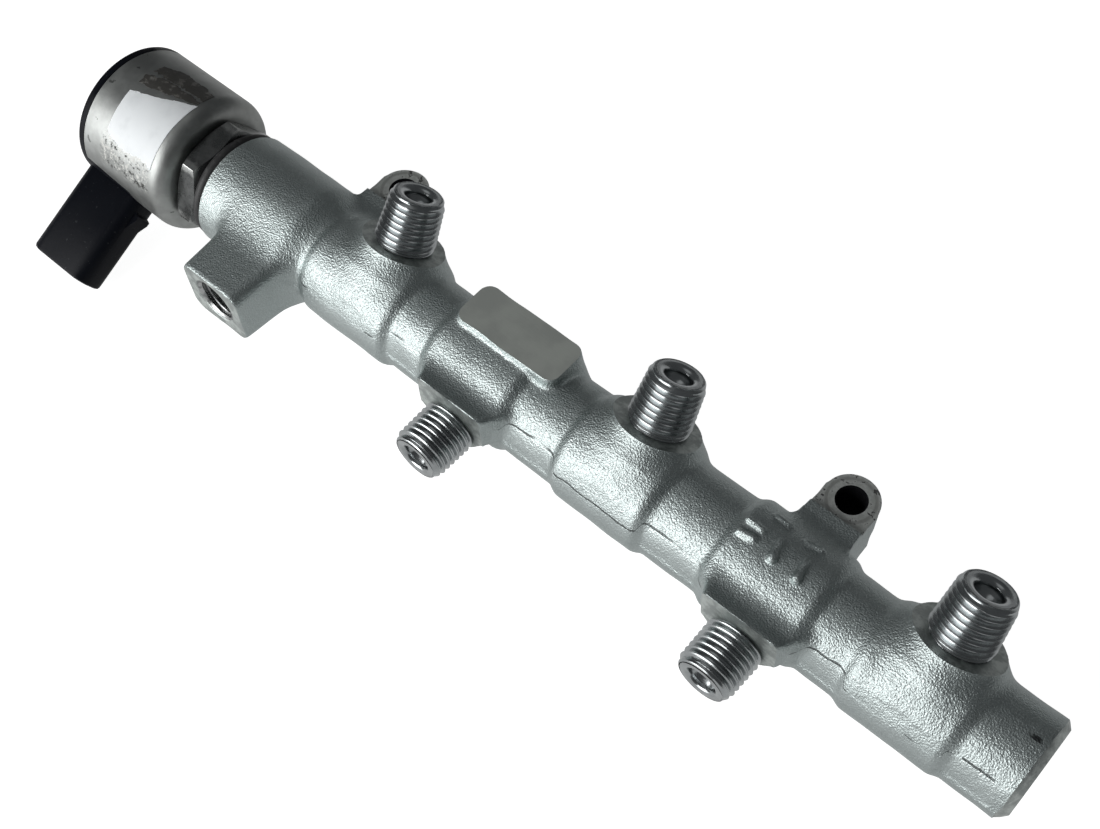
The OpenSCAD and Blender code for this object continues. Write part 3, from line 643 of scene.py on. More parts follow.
cutters = [
    turned_object("sensor_end_cut", [
        (0, -AIR), (22, -AIR), (22, 4), (12.6, 2.2), (11.7, 1.1), (10.4, 0), (PORT_BORE_R + 0.5, 0),
        (PORT_BORE_R, 0.5), (PORT_BORE_R, SENSOR_DEPTH), (GALLERY_R, SENSOR_DEPTH + 1.2),
        (GALLERY_R, SENSOR_DEPTH + 20), (0, SENSOR_DEPTH + 20)]),
    turned_object("head_end_cut", [
        (0, AIR), (26, AIR), (26, -8), (HEAD_R + 0.25, -0.9), (HEAD_R - 0.7, 0), (NUT_BORE_R + 0.8, 0),
        (NUT_BORE_R, -0.8), (NUT_BORE_R, -NUT_BORE_DEPTH), (GROUND_BORE_R, -NUT_BORE_DEPTH),
        (GROUND_BORE_R, -GROUND_BORE_DEPTH), (0, -GROUND_BORE_DEPTH)],
        Matrix.Translation((-RAIL_LEN, 0, 0)) @ ALONG_RAIL),
    turned_object("return_cut", [
        (0, RETURN_FACE + AIR), (RETURN_CUT_R, RETURN_FACE + AIR), (RETURN_CUT_R, RETURN_FACE),
        (PORT_BORE_R + 0.4, RETURN_FACE), (PORT_BORE_R, RETURN_FACE - 0.4), (PORT_BORE_R, RETURN_FACE - 11),
        (RETURN_DRILL_R, RETURN_FACE - 12.5), (RETURN_DRILL_R, 6), (0, 6)], at_side(RETURN_AT))]
ring_rod, side_rod = rod(15, RING_REACH, RING_REACH + AIR), rod(18, SIDE_FACE, SIDE_FACE + AIR)
cutters += [turned_object("outlet_cut", ring_rod, at_outlet(s)) for s in OUTLET_AT]
cutters += [turned_object("side_cut", side_rod, at_side(s)) for s in SIDE_AT]
for s in LUG_AT:
    cutters.append(block_object(
        "lug_cut", (-s - 13, LUG_SEAT_FROM, LUG_TOP), (-s + 13, LUG_Y + 14, LUG_TOP + 12)))
    cutters.append(turned_object("bolt_hole", [
        (0, LUG_TOP + 1), (BOLT_HOLE_R + 1.4, LUG_TOP + 1), (BOLT_HOLE_R, LUG_TOP - 0.4),
        (BOLT_HOLE_R, -AIR), (0, -AIR)], Matrix.Translation((-s, LUG_Y, 0))))
cutters.append(block_object(
    "pad_cut", (-PAD_AT - 20, PAD_Y - 10, PAD_TOP), (-PAD_AT + 20, PAD_Y + 10, PAD_TOP + 4)))

FINISHES = [look.material for look in (forged_steel, cut_steel, seat_steel, oiled_bore, pad_foil)]
FINISH_OF = {"lug_cut": 2, "bolt_hole": 3, "pad_cut": 4}
for obj in [forging] + cutters:
    for finish in FINISHES:
        obj.data.materials.append(finish)
for cutter in cutters:
    index = next((k for start, k in FINISH_OF.items() if cutter.name.startswith(start)), 1)
    cutter.data.polygons.foreach_set("material_index", [index] * len(cutter.data.polygons))
    worked(forging, cutter)
soft_and_sharp(forging, 32)
# Where two finishes meet, the edge is sharp
bare = bmesh.new()
bare.from_mesh(forging.data)
for edge in bare.edges:
    if len({face.material_index for face in edge.link_faces}) > 1:
        edge.smooth = False
bare.to_mesh(forging.data)
bare.free()

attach(forging, "rail")
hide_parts("rail_body")


# Tapped threads line the return port and the sensor port, both fine pitch,
# from a countersunk mouth down to a short run-out above the seat.
def object_of(name, work):
    """Object with a bmesh's faces."""
    mesh = bpy.data.meshes.new(name)
    work.to_mesh(mesh)
    work.free()
    return shown(mesh, name)


def one_mesh(name, objects):
    """Joins objects' meshes into one."""
    work = bmesh.new()
    for obj in objects:
        work.from_mesh(obj.data)
        bpy.data.objects.remove(obj)
    return object_of(name, work)


def finish_with(obj, look, angle):
    obj.data.materials.clear()
    obj.data.materials.append(look.material)
    soft_and_sharp(obj, angle)


def tapped_lining(name, place, mouth, depth, pitch=1.5, rows_a_turn=14, around=60):
    """Threaded tube between the port's drilled wall and its thread crests."""
    inward = 1 if depth > mouth else -1
    length = abs(depth - mouth)
    rows = int(length / pitch * rows_a_turn)

    def loop(down, radius_at):
        angles = [2 * math.pi * i / around for i in range(around)]
        return [(radius_at(down, i) * math.cos(a), radius_at(down, i) * math.sin(a), mouth + inward * down)
                for i, a in enumerate(angles)]

    def thread(down, i):
        phase = (down / pitch - inward * i / around) % 1
        crest = min(1, max(0, (abs(2 * phase - 1) - 0.1) / 0.75))
        lead = max(0, 0.75 - down)
        return max(PORT_BORE_R - (PORT_BORE_R - THREAD_CREST_R) * crest, THREAD_CREST_R + lead)

    def wall(down, i):
        return PORT_BORE_R + 0.15

    loops = [loop(0, wall)] + [loop(length * k / rows, thread) for k in range(rows + 1)]
    return lofted(name, loops + [loop(length, wall)], place, ring=True)


port_threads = one_mesh("port_threads", [
    tapped_lining("return_thread", at_side(RETURN_AT), RETURN_FACE - 0.15, RETURN_FACE - 10.6),
    tapped_lining("sensor_thread", ALONG_RAIL, 0.15, SENSOR_DEPTH - 1.2)])
look = Look("tapped_steel", 1.0, 0.3)
oily = look.noise(500, 4, 0.6)
look.tint(oily.between(0.4, 0.6), (0.24, 0.25, 0.25), (0.46, 0.47, 0.47))
look.set("Roughness", oily * 0.3 + 0.16)
look.bump(oily, 0.02)
finish_with(port_threads, look, 50)
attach(port_threads, "rail")


# Five threaded stubs are turned on the forging: a run-out groove, a rolled
# metric thread that starts on a lead cone, a plain nose and the 60 degree cone
# that a pipe's ball end seals on, with the drilled passage behind it.
STUB_R = mounts["outlet_1"]["dims"]["r_mm"]
OUTLET_REACH = 28.2
SIDE_REACH = 28.5
FOOT_SUNK = 0.3


def thread_tree():
    """Stub along Z from foot to mouth, in metres, repeated along the rail: grid rows follow the helix."""
    tree = bpy.data.node_groups.new("threaded_stubs", "GeometryNodeTree")
    sizes = {
        "Foot": 0.0148, "Mouth": 0.0285, "Thread radius": 0.007, "Pitch": 0.0015, "Depth": 0.0009,
        "Groove width": 0.0003, "Lead length": 0.0012, "Nose length": 0.0009, "Nose radius": 0.0062,
        "Cone radius": 0.0042, "Passage radius": 0.0015, "Passage depth": 0.008, "Taper": 0.0, "Lean": 0.0,
        "First": 0.0265, "Spacing": 0.0774}
    counts = {"Count": 3, "Around": 56, "Rows a turn": 10}
    for kind, defaults in (("Float", sizes), ("Int", counts)):
        for label, default in defaults.items():
            socket = tree.interface.new_socket(label, in_out="INPUT", socket_type="NodeSocket" + kind)
            socket.default_value = default
    tree.interface.new_socket("Steel", in_out="INPUT", socket_type="NodeSocketMaterial")
    tree.interface.new_socket("Geometry", in_out="OUTPUT", socket_type="NodeSocketGeometry")
    entry = tree.nodes.new("NodeGroupInput")
    given = {socket.name: Field(tree, socket) for socket in entry.outputs if socket.name}
    foot, mouth, pitch = given["Foot"], given["Mouth"], given["Pitch"]
    row_step = pitch / given["Rows a turn"]
    thread_rows = ((mouth - foot + pitch) / row_step).of("CEIL") + 1
    lining_rows, lining_step = 44, 0.35 * mm
    rows = thread_rows + lining_rows
    grid = node(tree, "GeometryNodeMeshGrid", Size_X=1.0, Size_Y=1.0,
                Vertices_X=given["Around"] + 1, Vertices_Y=rows + 1)
    on_grid = node(tree, "ShaderNodeSeparateXYZ", node(tree, "GeometryNodeInputPosition"))
    turn, row, _ = outputs_of(on_grid)
    turn = turn + 0.5
    row = ((row + 0.5) * rows).of("ROUND")

    # Height of each point: rows climb one pitch a turn, and stop at foot and mouth
    climb = foot - pitch + row * row_step + pitch * turn
    height = climb.most(foot).least(mouth)
    crest = ((row / given["Rows a turn"]).of("FRACT") * 2 - 1).of("ABSOLUTE")
    groove = ((crest - 0.12) / 0.62).most(0).least(1)
    past_groove = height - foot - given["Groove width"]
    runout = (past_groove / (pitch * 0.7)).most(0).least(1)
    slimmer = (height - foot) * given["Taper"]
    thread = given["Thread radius"] - slimmer - given["Depth"] * groove
    root = given["Thread radius"] - given["Depth"]
    thread = root + (thread - root) * past_groove.of("GREATER_THAN", 0) * runout.of("POWER", 0.5)
    nose_from = mouth - given["Nose length"]
    lead = given["Nose radius"] + ((nose_from - height) / given["Lead length"]).most(0) * (
        given["Thread radius"] + 0.02 * mm - given["Nose radius"])
    chamfer = 0.45 * mm
    outside = thread.least(lead) + ((mouth - height).least(chamfer) - chamfer)

    # Behind the mouth: rim, 60 degree sealing cone, passage and its closed end
    inward = (row - thread_rows).most(0) * lining_step
    rim_width = given["Nose radius"] - chamfer - given["Cone radius"]
    cone_width = given["Cone radius"] - given["Passage radius"]
    cone_depth = cone_width / math.tan(math.radians(30))
    cone_skin = cone_depth * 1.155
    past_rim = (inward - rim_width).most(0)
    cone_share = (past_rim / cone_skin).least(1)
    past_cone = (past_rim - cone_skin).most(0).least(given["Passage depth"])
    closing = ((past_rim - cone_skin - given["Passage depth"]).most(0) * 4).least(given["Passage radius"])
    radius = outside - inward.least(rim_width) - cone_share * cone_width - closing
    depth = height - cone_share * cone_depth - past_cone
    angle = turn * (2 * math.pi)
    point = node(tree, "ShaderNodeCombineXYZ", radius * angle.of("COSINE"), radius * angle.of("SINE"), depth)
    shaped = node(tree, "GeometryNodeSetPosition", Geometry=grid, Position=point)
    closed = node(tree, "GeometryNodeMergeByDistance", Geometry=shaped, Distance=0.004 * mm)

    # One stub at each port of the row
    start = node(tree, "ShaderNodeCombineXYZ", given["First"] * -1, 0.0, 0.0)
    offset = node(tree, "ShaderNodeCombineXYZ", given["Spacing"] * -1, 0.0, 0.0)
    line = node(tree, "GeometryNodeMeshLine", Count=given["Count"], Start_Location=start, Offset=offset)
    leaning = node(tree, "ShaderNodeCombineXYZ", given["Lean"] * -1, 0.0, 0.0)
    spread = node(tree, "GeometryNodeInstanceOnPoints", Points=line, Instance=closed, Rotation=leaning)
    real = node(tree, "GeometryNodeRealizeInstances", Geometry=spread)
    steel = node(tree, "GeometryNodeSetMaterial", Geometry=real, Material=given["Steel"])
    tree.links.new(steel.socket, tree.nodes.new("NodeGroupOutput").inputs["Geometry"])
    return tree


def made_by(name, tree, **inputs):
    """Runs a geometry tree once and keeps its result as a plain mesh."""
    obj = mesh_object(name, [(0, 0, 0)], [])
    maker = obj.modifiers.new("maker", "NODES")
    maker.node_group = tree
    sockets = {item.name: item.identifier for item in tree.interface.items_tree if item.in_out == "INPUT"}
    for label, value in inputs.items():
        maker[sockets[label.replace("_", " ")]] = value
    finished(obj)
    return obj


look = Look("thread_steel", 1.0, 0.24)
smear = look.noise(260, 2)
look.tint(smear.between(0.35, 0.7), (0.37, 0.39, 0.395), (0.46, 0.485, 0.49))
look.set("Roughness", smear * 0.08 + 0.2)
look.bump(look.noise(3600, 2), 0.012, 0.6)

thread = thread_tree()
outlet_stubs = made_by(
    "outlet_stubs", thread, Foot=(RING_REACH - FOOT_SUNK) * mm, Mouth=OUTLET_REACH * mm,
    Thread_radius=(STUB_R + 0.55) * mm, Taper=0.068, Lean=OUTLET_LEAN, First=OUTLET_AT[0] * mm,
    Spacing=(OUTLET_AT[1] - OUTLET_AT[0]) * mm, Count=3, Steel=look.material)
side_stub_threads = made_by(
    "side_stub_threads", thread, Foot=(SIDE_FACE - FOOT_SUNK) * mm, Mouth=SIDE_REACH * mm,
    Thread_radius=(STUB_R + 0.1) * mm, Taper=0.02, Lean=-math.pi / 2, First=SIDE_AT[0] * mm,
    Spacing=(SIDE_AT[1] - SIDE_AT[0]) * mm, Count=2, Steel=look.material)
for stubs in (outlet_stubs, side_stub_threads):
    soft_and_sharp(stubs, 50)
    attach(stubs, "rail")


# The union nut clamps the control valve in the head: a turned hexagon with a
# collar and a thread below, hardened and blackened, its corners worn bright.
HEAD_FACE = RAIL_LEN
HEX_FROM = HEAD_FACE + 3
HEX_TO = HEX_FROM + 6.6
HEX_FLAT = 13.5
HEX_TURN = math.radians(-37)
COLLAR_R = 11.8
STEM_R = 7.15
hex_corner = HEX_FLAT / math.cos(math.radians(30))
fall = (hex_corner - HEX_FLAT + 0.5) * math.tan(math.radians(30))


def softened(obj, width, angle):
    """Rounds the edges where faces meet at more than angle degrees."""
    soften = obj.modifiers.new("soft_edges", "BEVEL")
    soften.width = width * mm
    soften.segments = 2
    soften.limit_method = "ANGLE"
    soften.angle_limit = math.radians(angle)
    finished(obj)


nut = turned_object("union_nut_turned", rod(hex_corner, HEX_FROM, HEX_TO),
                    ALONG_RAIL @ Matrix.Rotation(HEX_TURN, 4, "Z"), around=6)
softened(nut, 0.3, 50)
worked(nut, turned_object("nut_chamfers", [
    (0, HEX_FROM), (HEX_FLAT - 0.5, HEX_FROM), (hex_corner, HEX_FROM + fall),
    (hex_corner + 1, HEX_FROM + fall), (hex_corner + 1, HEX_TO - fall), (hex_corner, HEX_TO - fall),
    (HEX_FLAT - 0.5, HEX_TO), (0, HEX_TO)], around=96), "INTERSECT")
worked(nut, turned_object("nut_collar", [
    (0, HEAD_FACE - 10), (10, HEAD_FACE - 10), (11, HEAD_FACE - 9), (11, HEAD_FACE + 0.05),
    (COLLAR_R - 0.3, HEAD_FACE + 0.05), (COLLAR_R, HEAD_FACE + 0.35), (COLLAR_R, HEX_FROM + 1),
    (0, HEX_FROM + 1)], around=96), "UNION")
worked(nut, turned_object("nut_bore", [
    (0, HEAD_FACE - 12), (STEM_R, HEAD_FACE - 12), (STEM_R, HEX_TO - 0.4), (STEM_R + 0.8, HEX_TO + 0.4),
    (0, HEX_TO + 0.4)], around=96))

look = Look("nut_steel", 1.0, 0.36)
grain = look.noise(3800, 3, along=(0.12, 1, 1))
blotch = look.noise(330, 4, 0.6)
look.bump(grain * 0.6 + blotch * 0.3, 0.03)
x, y, z = sides_of(look.tree)
worn = (reach_of(y, z) + (blotch - 0.5) * 1.2).between(14.5, 15.1)
look.tint(blotch.between(0.4, 0.66), (0.115, 0.12, 0.12), (0.165, 0.17, 0.168))
look.over(worn * 0.7, (0.42, 0.43, 0.42))
look.set("Roughness", blotch * 0.12 + 0.22)
finish_with(nut, look, 28)
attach(nut, "rail")
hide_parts("union_nut")


# Inside the head: the control valve. Its solids are shown as they are, turned
# from bar, with fine lathe marks, and ground where they slide or seal.
lathe, given, leave = group_of("lathe_marks", {"Feed": 0.09, "Depth": 1}, ["Height", "Sheen"])
x, y, z = sides_of(lathe)
marks = ((x + reach_of(y, z)) / given["Feed"] * (2 * math.pi)).of("SINE")
uneven = noise(lathe, 420, 3, 0.6)
lathe.links.new(((marks * 0.3 + uneven) * given["Depth"]).socket, leave.inputs["Height"])
lathe.links.new(uneven.between(0.35, 0.65).socket, leave.inputs["Sheen"])


def dress(names, look):
    """Gives solids that keep their CAD shape a finish."""
    for name in names:
        for slot in nodes[name].material_slots:
            slot.material = look.material


# Name, dark and light colour, roughness, the tool's feed in mm, and the solids
for name, dark, light, roughness, feed, names in (
        ("turned_bright", (0.52, 0.53, 0.54), (0.62, 0.63, 0.64), 0.26, 0.09,
         ["valve_body", "armature_sleeve", "spring_plug"]),
        ("ground_hard", (0.68, 0.69, 0.70), (0.77, 0.78, 0.79), 0.13, 0.03,
         ["seat_insert", "valve_ball", "push_rod", "stop_shim"]),
        ("guide_bronze", (0.58, 0.39, 0.18), (0.72, 0.52, 0.27), 0.3, 0.07, ["rod_guide"]),
        ("dull_iron", (0.40, 0.41, 0.42), (0.50, 0.51, 0.52), 0.4, 0.12,
         ["armature", "front_yoke", "rear_yoke"]),
        ("drawn_spring_wire", (0.48, 0.48, 0.50), (0.64, 0.64, 0.66), 0.24, 0.05, ["valve_spring"])):
    look = Look(name, 1.0, roughness)
    sheen = use_group(look, lathe, "Sheen", Feed=feed)
    look.tint(sheen, dark, light)
    look.set("Roughness", sheen * -0.1 + (roughness + 0.05))
    look.bump(use_group(look, lathe, "Height", Feed=feed), 0.012)
    dress(names, look)

# Moulded rubber rings: dull, with a little talc left on them
look = Look("ring_rubber", 0.0, 0.6)
talc = look.noise(600, 4, 0.65)
look.tint(talc.between(0.5, 0.75), (0.022, 0.022, 0.023), (0.06, 0.06, 0.06))
look.set("Roughness", talc * 0.3 + 0.42)
look.bump(talc, 0.02)
# The nut's seal ring is black rubber and also fills the dark band between nut and head, where the gap lies
# in shade, so its black there is partly painted shade.
dress(["nut_seal_ring", "valve_o_ring", "front_coil_seal", "rear_coil_seal"], look)

# The backup ring is cut from filled fluoroplastic, waxy and off-white
look = Look("ring_ptfe", 0.0, 0.4)
filler = look.noise(1400, 3)
look.tint(filler.between(0.4, 0.65), (0.86, 0.84, 0.77), (0.74, 0.71, 0.63))
look.bump(filler, 0.01)
dress(["backup_ring"], look)


# The coil: enamelled copper wound in layers on a black nylon bobbin, between
# two iron yokes, and the two tinned blades that stand in the shroud.
WIRE = 0.42
look = Look("wound_copper", 1.0, 0.28)
x, y, z = sides_of(look.tree)
wires = ((x + reach_of(y, z)) / WIRE * math.pi).of("SINE").of("ABSOLUTE")
varnish = look.noise(380, 3)
look.tint(varnish.between(0.35, 0.65), (0.60, 0.29, 0.14), (0.78, 0.44, 0.25))
look.over(wires.between(0.45, 0), (0.12, 0.05, 0.03))
look.bump(wires, 0.12)
dress(["coil_winding"], look)

look = Look("bobbin_nylon", 0.0, 0.45)
glass = look.noise(1500, 4)
look.tint(glass.between(0.4, 0.7), (0.085, 0.085, 0.095), (0.13, 0.13, 0.14))
look.set("Roughness", glass * 0.2 + 0.35)
look.bump(glass, 0.02)
dress(["coil_bobbin"], look)

look = Look("blade_tin", 1.0, 0.3)
dull = look.noise(500, 3)
look.tint(dull.between(0.4, 0.65), (0.74, 0.73, 0.70), (0.60, 0.59, 0.56))
look.set("Roughness", dull * 0.2 + 0.2)
look.bump(look.noise(2600, 3, along=(1, 0.15, 0.15)), 0.015)
dress(["terminal_pin_a", "terminal_pin_b"], look)


# The solenoid can is deep drawn from thin sheet, open at the back for the
# moulding and notched where the connector leaves. It is satin nickel plated.
CAN_FROM = HEX_TO + 0.3
CAN_R = 18.9
CAN_LEN = 29.6
CAN_ROUND = 4.4
CAN_WALL = 1.4
CAN_MOUTH_R = 7.5
CAN_END = CAN_FROM + CAN_LEN
DISC_THICK = 2.4
VALVE_END = CAN_END + DISC_THICK
PLUG_TURN = math.radians(115)
PLUG_HALF = (10.3, 5.5)
PLUG_CORNER = 4.2
PLUG_REACH = 44.2
PLUG_FROM = 16.35
plug_place = Matrix.Translation((-(VALVE_END - PLUG_HALF[0]), 0, 0)) @ Matrix.Rotation(PLUG_TURN, 4, "X")


def rounded_loop(half_x, half_y, corner, z, steps=7):
    loop = []
    for quarter in range(4):
        cx = (half_x - corner) * (1, -1, -1, 1)[quarter]
        cy = (half_y - corner) * (1, 1, -1, -1)[quarter]
        for k in range(steps):
            angle = (quarter + k / (steps - 1)) * math.pi / 2
            loop.append((cx + corner * math.cos(angle), cy + corner * math.sin(angle), z))
    return loop


def root_loop(grow, z, corner=0.8):
    """Wide at the can's open end and narrower towards the nut, seen along the connector."""
    near, far = PLUG_HALF[0] - 2.2 + grow, -PLUG_HALF[0] + DISC_THICK - 6
    narrow, wide = 6.5 + grow, 9.4 + grow
    upper = [(near, narrow - corner), (near - 0.3 * corner, narrow - 0.3 * corner),
             (near - corner, narrow), (far, wide)]
    return [(x, y, z) for x, y in upper + [(x, -y) for x, y in upper[::-1]]]


def arc(middle, height, radius, start, end, steps):
    """Points of a profile arc round (middle, height), angles in degrees."""
    angles = [math.radians(start + (end - start) * k / steps) for k in range(steps + 1)]
    return [(middle + radius * math.cos(a), height + radius * math.sin(a)) for a in angles]


can = turned_object("solenoid_can_drawn", [
    (CAN_MOUTH_R, CAN_FROM)]
    + arc(CAN_R - CAN_ROUND, CAN_FROM + CAN_ROUND, CAN_ROUND, -90, 0, 12)
    + [(CAN_R, CAN_END - 0.25), (CAN_R - 0.25, CAN_END), (CAN_R - CAN_WALL, CAN_END)]
    + arc(CAN_R - CAN_ROUND, CAN_FROM + CAN_ROUND, CAN_ROUND - CAN_WALL, 0, -90, 8)
    + [(CAN_MOUTH_R, CAN_FROM + CAN_WALL)], around=160)
worked(can, lofted("can_notch", [root_loop(0.1, z) for z in (PLUG_FROM - 0.15, 44)], plug_place))

look = Look("can_steel", 1.0, 0.45)
x, y, z = sides_of(look.tree)
satin = look.noise(2400, 3, along=(1, 0.25, 0.25))
cloud = look.noise(160, 3, 0.6)
look.bump(satin * 0.5 + cloud * 0.8, 0.05)
look.tint(cloud.between(0.38, 0.66), (0.31, 0.32, 0.312), (0.385, 0.397, 0.388))
look.over(look.noise(330, 5, 0.6).between(0.665, 0.7) * 0.75, (0.10, 0.105, 0.10))
# Glue and paper left below the label, by the turn round the can and the distance behind the head
turn = (y * -1).of("ARCTAN2", z)
behind = x * -1 - HEAD_FACE
patch = turn.between(0.80, 0.98) * turn.between(1.42, 1.26)
patch = patch * behind.between(13.5, 15.5) * behind.between(33.5, 31.5)
crumbs = look.noise(620, 5, 0.72)
paper = crumbs.between(0.54, 0.58) * patch
dirt = crumbs.between(0.45, 0.4) * patch
look.over(paper, (0.62, 0.62, 0.59))
look.over(dirt, (0.10, 0.10, 0.095))
look.set("Metallic", paper * -1 + 1)
look.set("Roughness", cloud * 0.12 + 0.40 + dirt * 0.4)
finish_with(can, look, 32)
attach(can, "rail")
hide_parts("solenoid_can")


# A paper label with its print left off, torn along both ends, and two dark
# rags of an older one beside it. Each is a thin sheet stuck round the can.
def stuck_sheet(name, corners, thickness, seed):
    """Sheet on the can. Corners: distance behind the head, degrees towards -Y, tear of the next edge."""
    rng = np.random.default_rng(seed)
    flat = [np.array([d, math.radians(a) * CAN_R]) for d, a, tear in corners]
    rim = []
    for k, start in enumerate(flat):
        along = flat[(k + 1) % len(flat)] - start
        length = np.linalg.norm(along)
        side = np.array([along[1], -along[0]]) / length
        steps = max(2, int(length / 0.35))
        drift = 0.0
        for i in range(steps):
            drift = 0.72 * drift + rng.normal() * corners[k][2] * 0.55
            ends = min(1, 4 * i / steps, 4 * (steps - i) / steps)
            rim.append(start + along * i / steps + side * drift * ends)
    work = bmesh.new()
    face = work.faces.new([work.verts.new((p[0], p[1], 0)) for p in rim])
    bmesh.ops.triangulate(work, faces=[face])
    low, high = np.min(rim, axis=0), np.max(rim, axis=0)
    fold = 0.9
    for axis in range(2):
        for value in np.arange(low[axis] + fold, high[axis], fold):
            plane, normal = [0, 0, 0], [0, 0, 0]
            plane[axis], normal[axis] = value, 1
            bmesh.ops.bisect_plane(work, geom=work.verts[:] + work.edges[:] + work.faces[:],
                                   plane_co=plane, plane_no=normal)
    bmesh.ops.remove_doubles(work, verts=work.verts, dist=0.01)
    lower = bmesh.ops.extrude_face_region(work, geom=work.faces[:])
    for vert in (v for v in lower["geom"] if isinstance(v, bmesh.types.BMVert)):
        vert.co.z = 1
    lift = rng.normal(size=3)
    for vert in work.verts:
        d, along, top = vert.co
        angle = along / CAN_R
        wave = 0.02 * math.sin(d * 0.9 + lift[0]) * math.sin(along * 0.7 + lift[1])
        radius = CAN_R + (thickness + 0.02 + wave if top else -0.05)
        vert.co = Vector((-(HEAD_FACE + d), -radius * math.sin(angle), radius * math.cos(angle))) * mm
    bmesh.ops.recalc_face_normals(work, faces=work.faces)
    return object_of(name, work)


label = stuck_sheet("paper_label", [
    (31.7, 13, 0.1), (24.3, 6, 0.12), (17.8, -3, 0.12), (13.9, -8, 0.02), (14.2, 55, 0.3), (16.3, 52, 0.3),
    (20.3, 53, 0.35), (24.3, 55.5, 0.3), (28.3, 52.5, 0.3), (31.4, 48, 0.03)], 0.07, 3)
look = Look("label_paper", 0.0, 0.55)
fibre = look.noise(1500, 4, 0.6)
smudge = look.noise(190, 3)
look.tint(smudge.between(0.5, 0.78), (0.93, 0.965, 0.98), (0.85, 0.885, 0.90))
look.set("Roughness", fibre * 0.15 + 0.45)
look.bump(fibre, 0.02)
finish_with(label, look, 40)

label_rags = one_mesh("label_rags", [
    stuck_sheet("rag_upper", [
        (31.9, -11, 0.3), (31.8, -21, 0.4), (27.3, -28, 0.3), (18.3, -29, 0.3), (14.5, -26, 0.2),
        (14.3, -14, 0.3), (19.3, -14.5, 0.4), (26.3, -12.5, 0.4)], 0.05, 11),
    stuck_sheet("rag_lower", [
        (31.7, 4, 0.2), (32.3, -5, 0.3), (28.3, -10.5, 0.4), (19.3, -12.5, 0.3), (14.3, -13, 0.2),
        (14.2, -9.5, 0.2), (20.3, -3.5, 0.3), (26.3, 1, 0.25)], 0.05, 12)])
look = Look("rag_film", 0.0, 0.5)
torn = look.noise(420, 5, 0.7)
look.tint(torn.between(0.52, 0.66), (0.062, 0.06, 0.054), (0.20, 0.195, 0.18))
look.set("Roughness", torn * 0.3 + 0.35)
look.bump(torn, 0.15)
finish_with(label_rags, look, 40)
for sheet in (label, label_rags):
    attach(sheet, "rail")


# Disc, root and shroud are one glass-filled nylon moulding. The shroud holds
# two tinned blades and takes the loom's plug, which clips over its ramp.
DISC_R = CAN_R - CAN_WALL - 0.05
SOCKET_WALL = 1.8
SLOT_HALF = (1.4, 0.4)
cover = turned_object("connector_cover_moulded", [
    (0, CAN_END - 3.2), (DISC_R, CAN_END - 3.2), (DISC_R, CAN_END), (CAN_R, CAN_END)]
    + arc(CAN_R - 1, VALVE_END - 1, 1, 0, 90, 5)
    + [(12, VALVE_END), (11.6, VALVE_END - 0.5), (0, VALVE_END - 0.5)], around=160)
root = lofted("cover_root", [root_loop(0, z) for z in (PLUG_FROM, 24)], plug_place)
worked(root, turned_object("root_limit", rod(CAN_R, CAN_FROM, CAN_END + 1), around=160), "INTERSECT")
shroud = lofted("cover_shroud", [
    rounded_loop(PLUG_HALF[0] - inset, PLUG_HALF[1] - inset, PLUG_CORNER - inset, z)
    for inset, z in (
        (0, PLUG_FROM), (0, PLUG_REACH - 0.9), (0.25, PLUG_REACH - 0.3), (0.8, PLUG_REACH),
        (1.5, PLUG_REACH), (SOCKET_WALL, PLUG_REACH - 0.4), (SOCKET_WALL, PLUG_REACH - 14))], plug_place)
worked(shroud, turned_object("shroud_limit", rod(CAN_R + 0.05, CAN_FROM - 1, CAN_END), around=160))
ramp = lofted("latch_ramp", [
    [(x, y, z) for x, z in ((9.6, 21), (11.7, 21.8), (11.7, 22.8), (9.6, 27.5))] for y in (-2.5, 2.5)],
    plug_place)
for piece in (root, shroud, ramp):
    worked(cover, piece, "UNION")
for middle in (-4, 4):
    worked(cover, lofted("blade_slot", [
        [(middle + u * SLOT_HALF[0], v * SLOT_HALF[1], z) for u, v in ((-1, -1), (1, -1), (1, 1), (-1, 1))]
        for z in (PLUG_REACH - 17.2, PLUG_REACH - 13.5)], plug_place))
softened(cover, 0.18, 48)

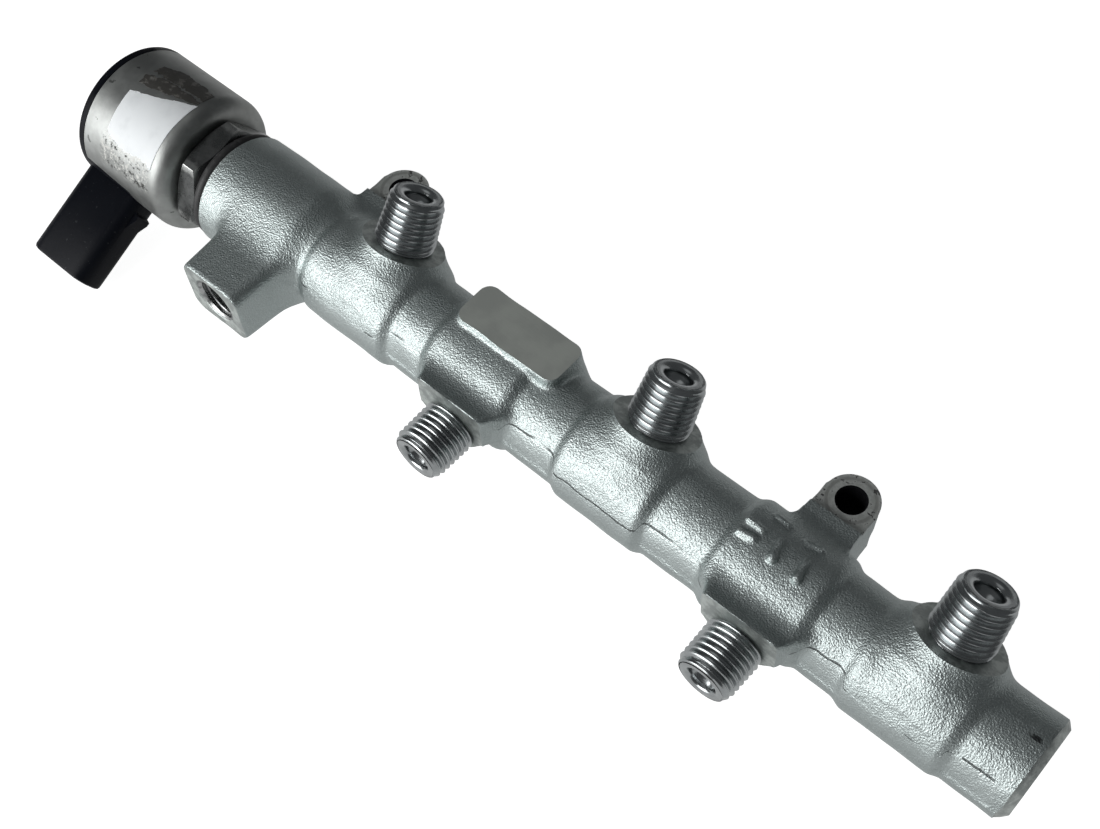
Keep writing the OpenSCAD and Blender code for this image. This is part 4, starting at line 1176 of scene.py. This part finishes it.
look = Look("cover_plastic", 0.0, 0.5)
look.inputs["Specular IOR Level"].default_value = 0.1
grain = look.noise(1300, 3)
sheen = look.noise(110, 3)
dust = look.noise(900, 2, 0.8)
look.tint(dust.between(0.66, 0.74), (0.004, 0.005, 0.008), (0.03, 0.033, 0.036))
look.set("Roughness", sheen * 0.25 + 0.3)
look.bump(grain * 0.6 + sheen * 0.5, 0.05)
finish_with(cover, look, 32)
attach(cover, "rail")
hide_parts("connector_cover")


# The table that the rail lies over, and the room's light: one broad window
# low on the side-stub side, a weaker sky above it, and a dim far side.
FLOOR_Z = cad_box[0].z / mm - 0.5
FLOOR_HALF = 3000
corners = [(u * FLOOR_HALF, v * FLOOR_HALF, FLOOR_Z) for u, v in ((-1, -1), (1, -1), (1, 1), (-1, 1))]
floor = mesh_object("table_top", corners, [(0, 1, 2, 3)])
look = Look("table_white", 0.0, 0.7)
look.inputs["Base Color"].default_value = (0.5, 0.5, 0.5, 1)
rays = look.tree.nodes.new("ShaderNodeLightPath")
seen, glossy, passed = (Field(look.tree, rays.outputs[f"Is {kind} Ray"])
                        for kind in ("Camera", "Glossy", "Transmission"))
look.set("Emission Strength", seen * 0.95 + glossy.most(passed) * 0.36)
look.inputs["Emission Color"].default_value = (1, 1, 1, 1)
floor.data.materials.append(look.material)


def soft_lamp(name, toward, distance, size, power):
    """Lamp in that direction from the middle of the object, facing it."""
    middle = (Vector(cad_box[0]) + Vector(cad_box[1])) / 2
    lamp = bpy.data.lights.new(name, "AREA")
    lamp.shape = "RECTANGLE"
    lamp.size, lamp.size_y = size
    lamp.energy = power
    obj = shown(lamp, name)
    away = Vector(toward).normalized()
    obj.location = middle + away * distance
    obj.rotation_euler = away.to_track_quat("Z", "Y").to_euler()


soft_lamp("window", (-0.37, -0.87, 0.33), 1.6, (1.5, 1.2), 28)
soft_lamp("sky", (-0.3, 0.1, 1), 1.8, (1.2, 1.2), 1.5)
world = bpy.data.worlds.new("room")
world.use_nodes = True
background = world.node_tree.nodes["Background"].inputs
background["Color"].default_value = (0.94, 0.97, 1.0, 1)
background["Strength"].default_value = 0.085
bpy.context.scene.world = world
bpy.context.scene.view_settings.view_transform = "Standard"
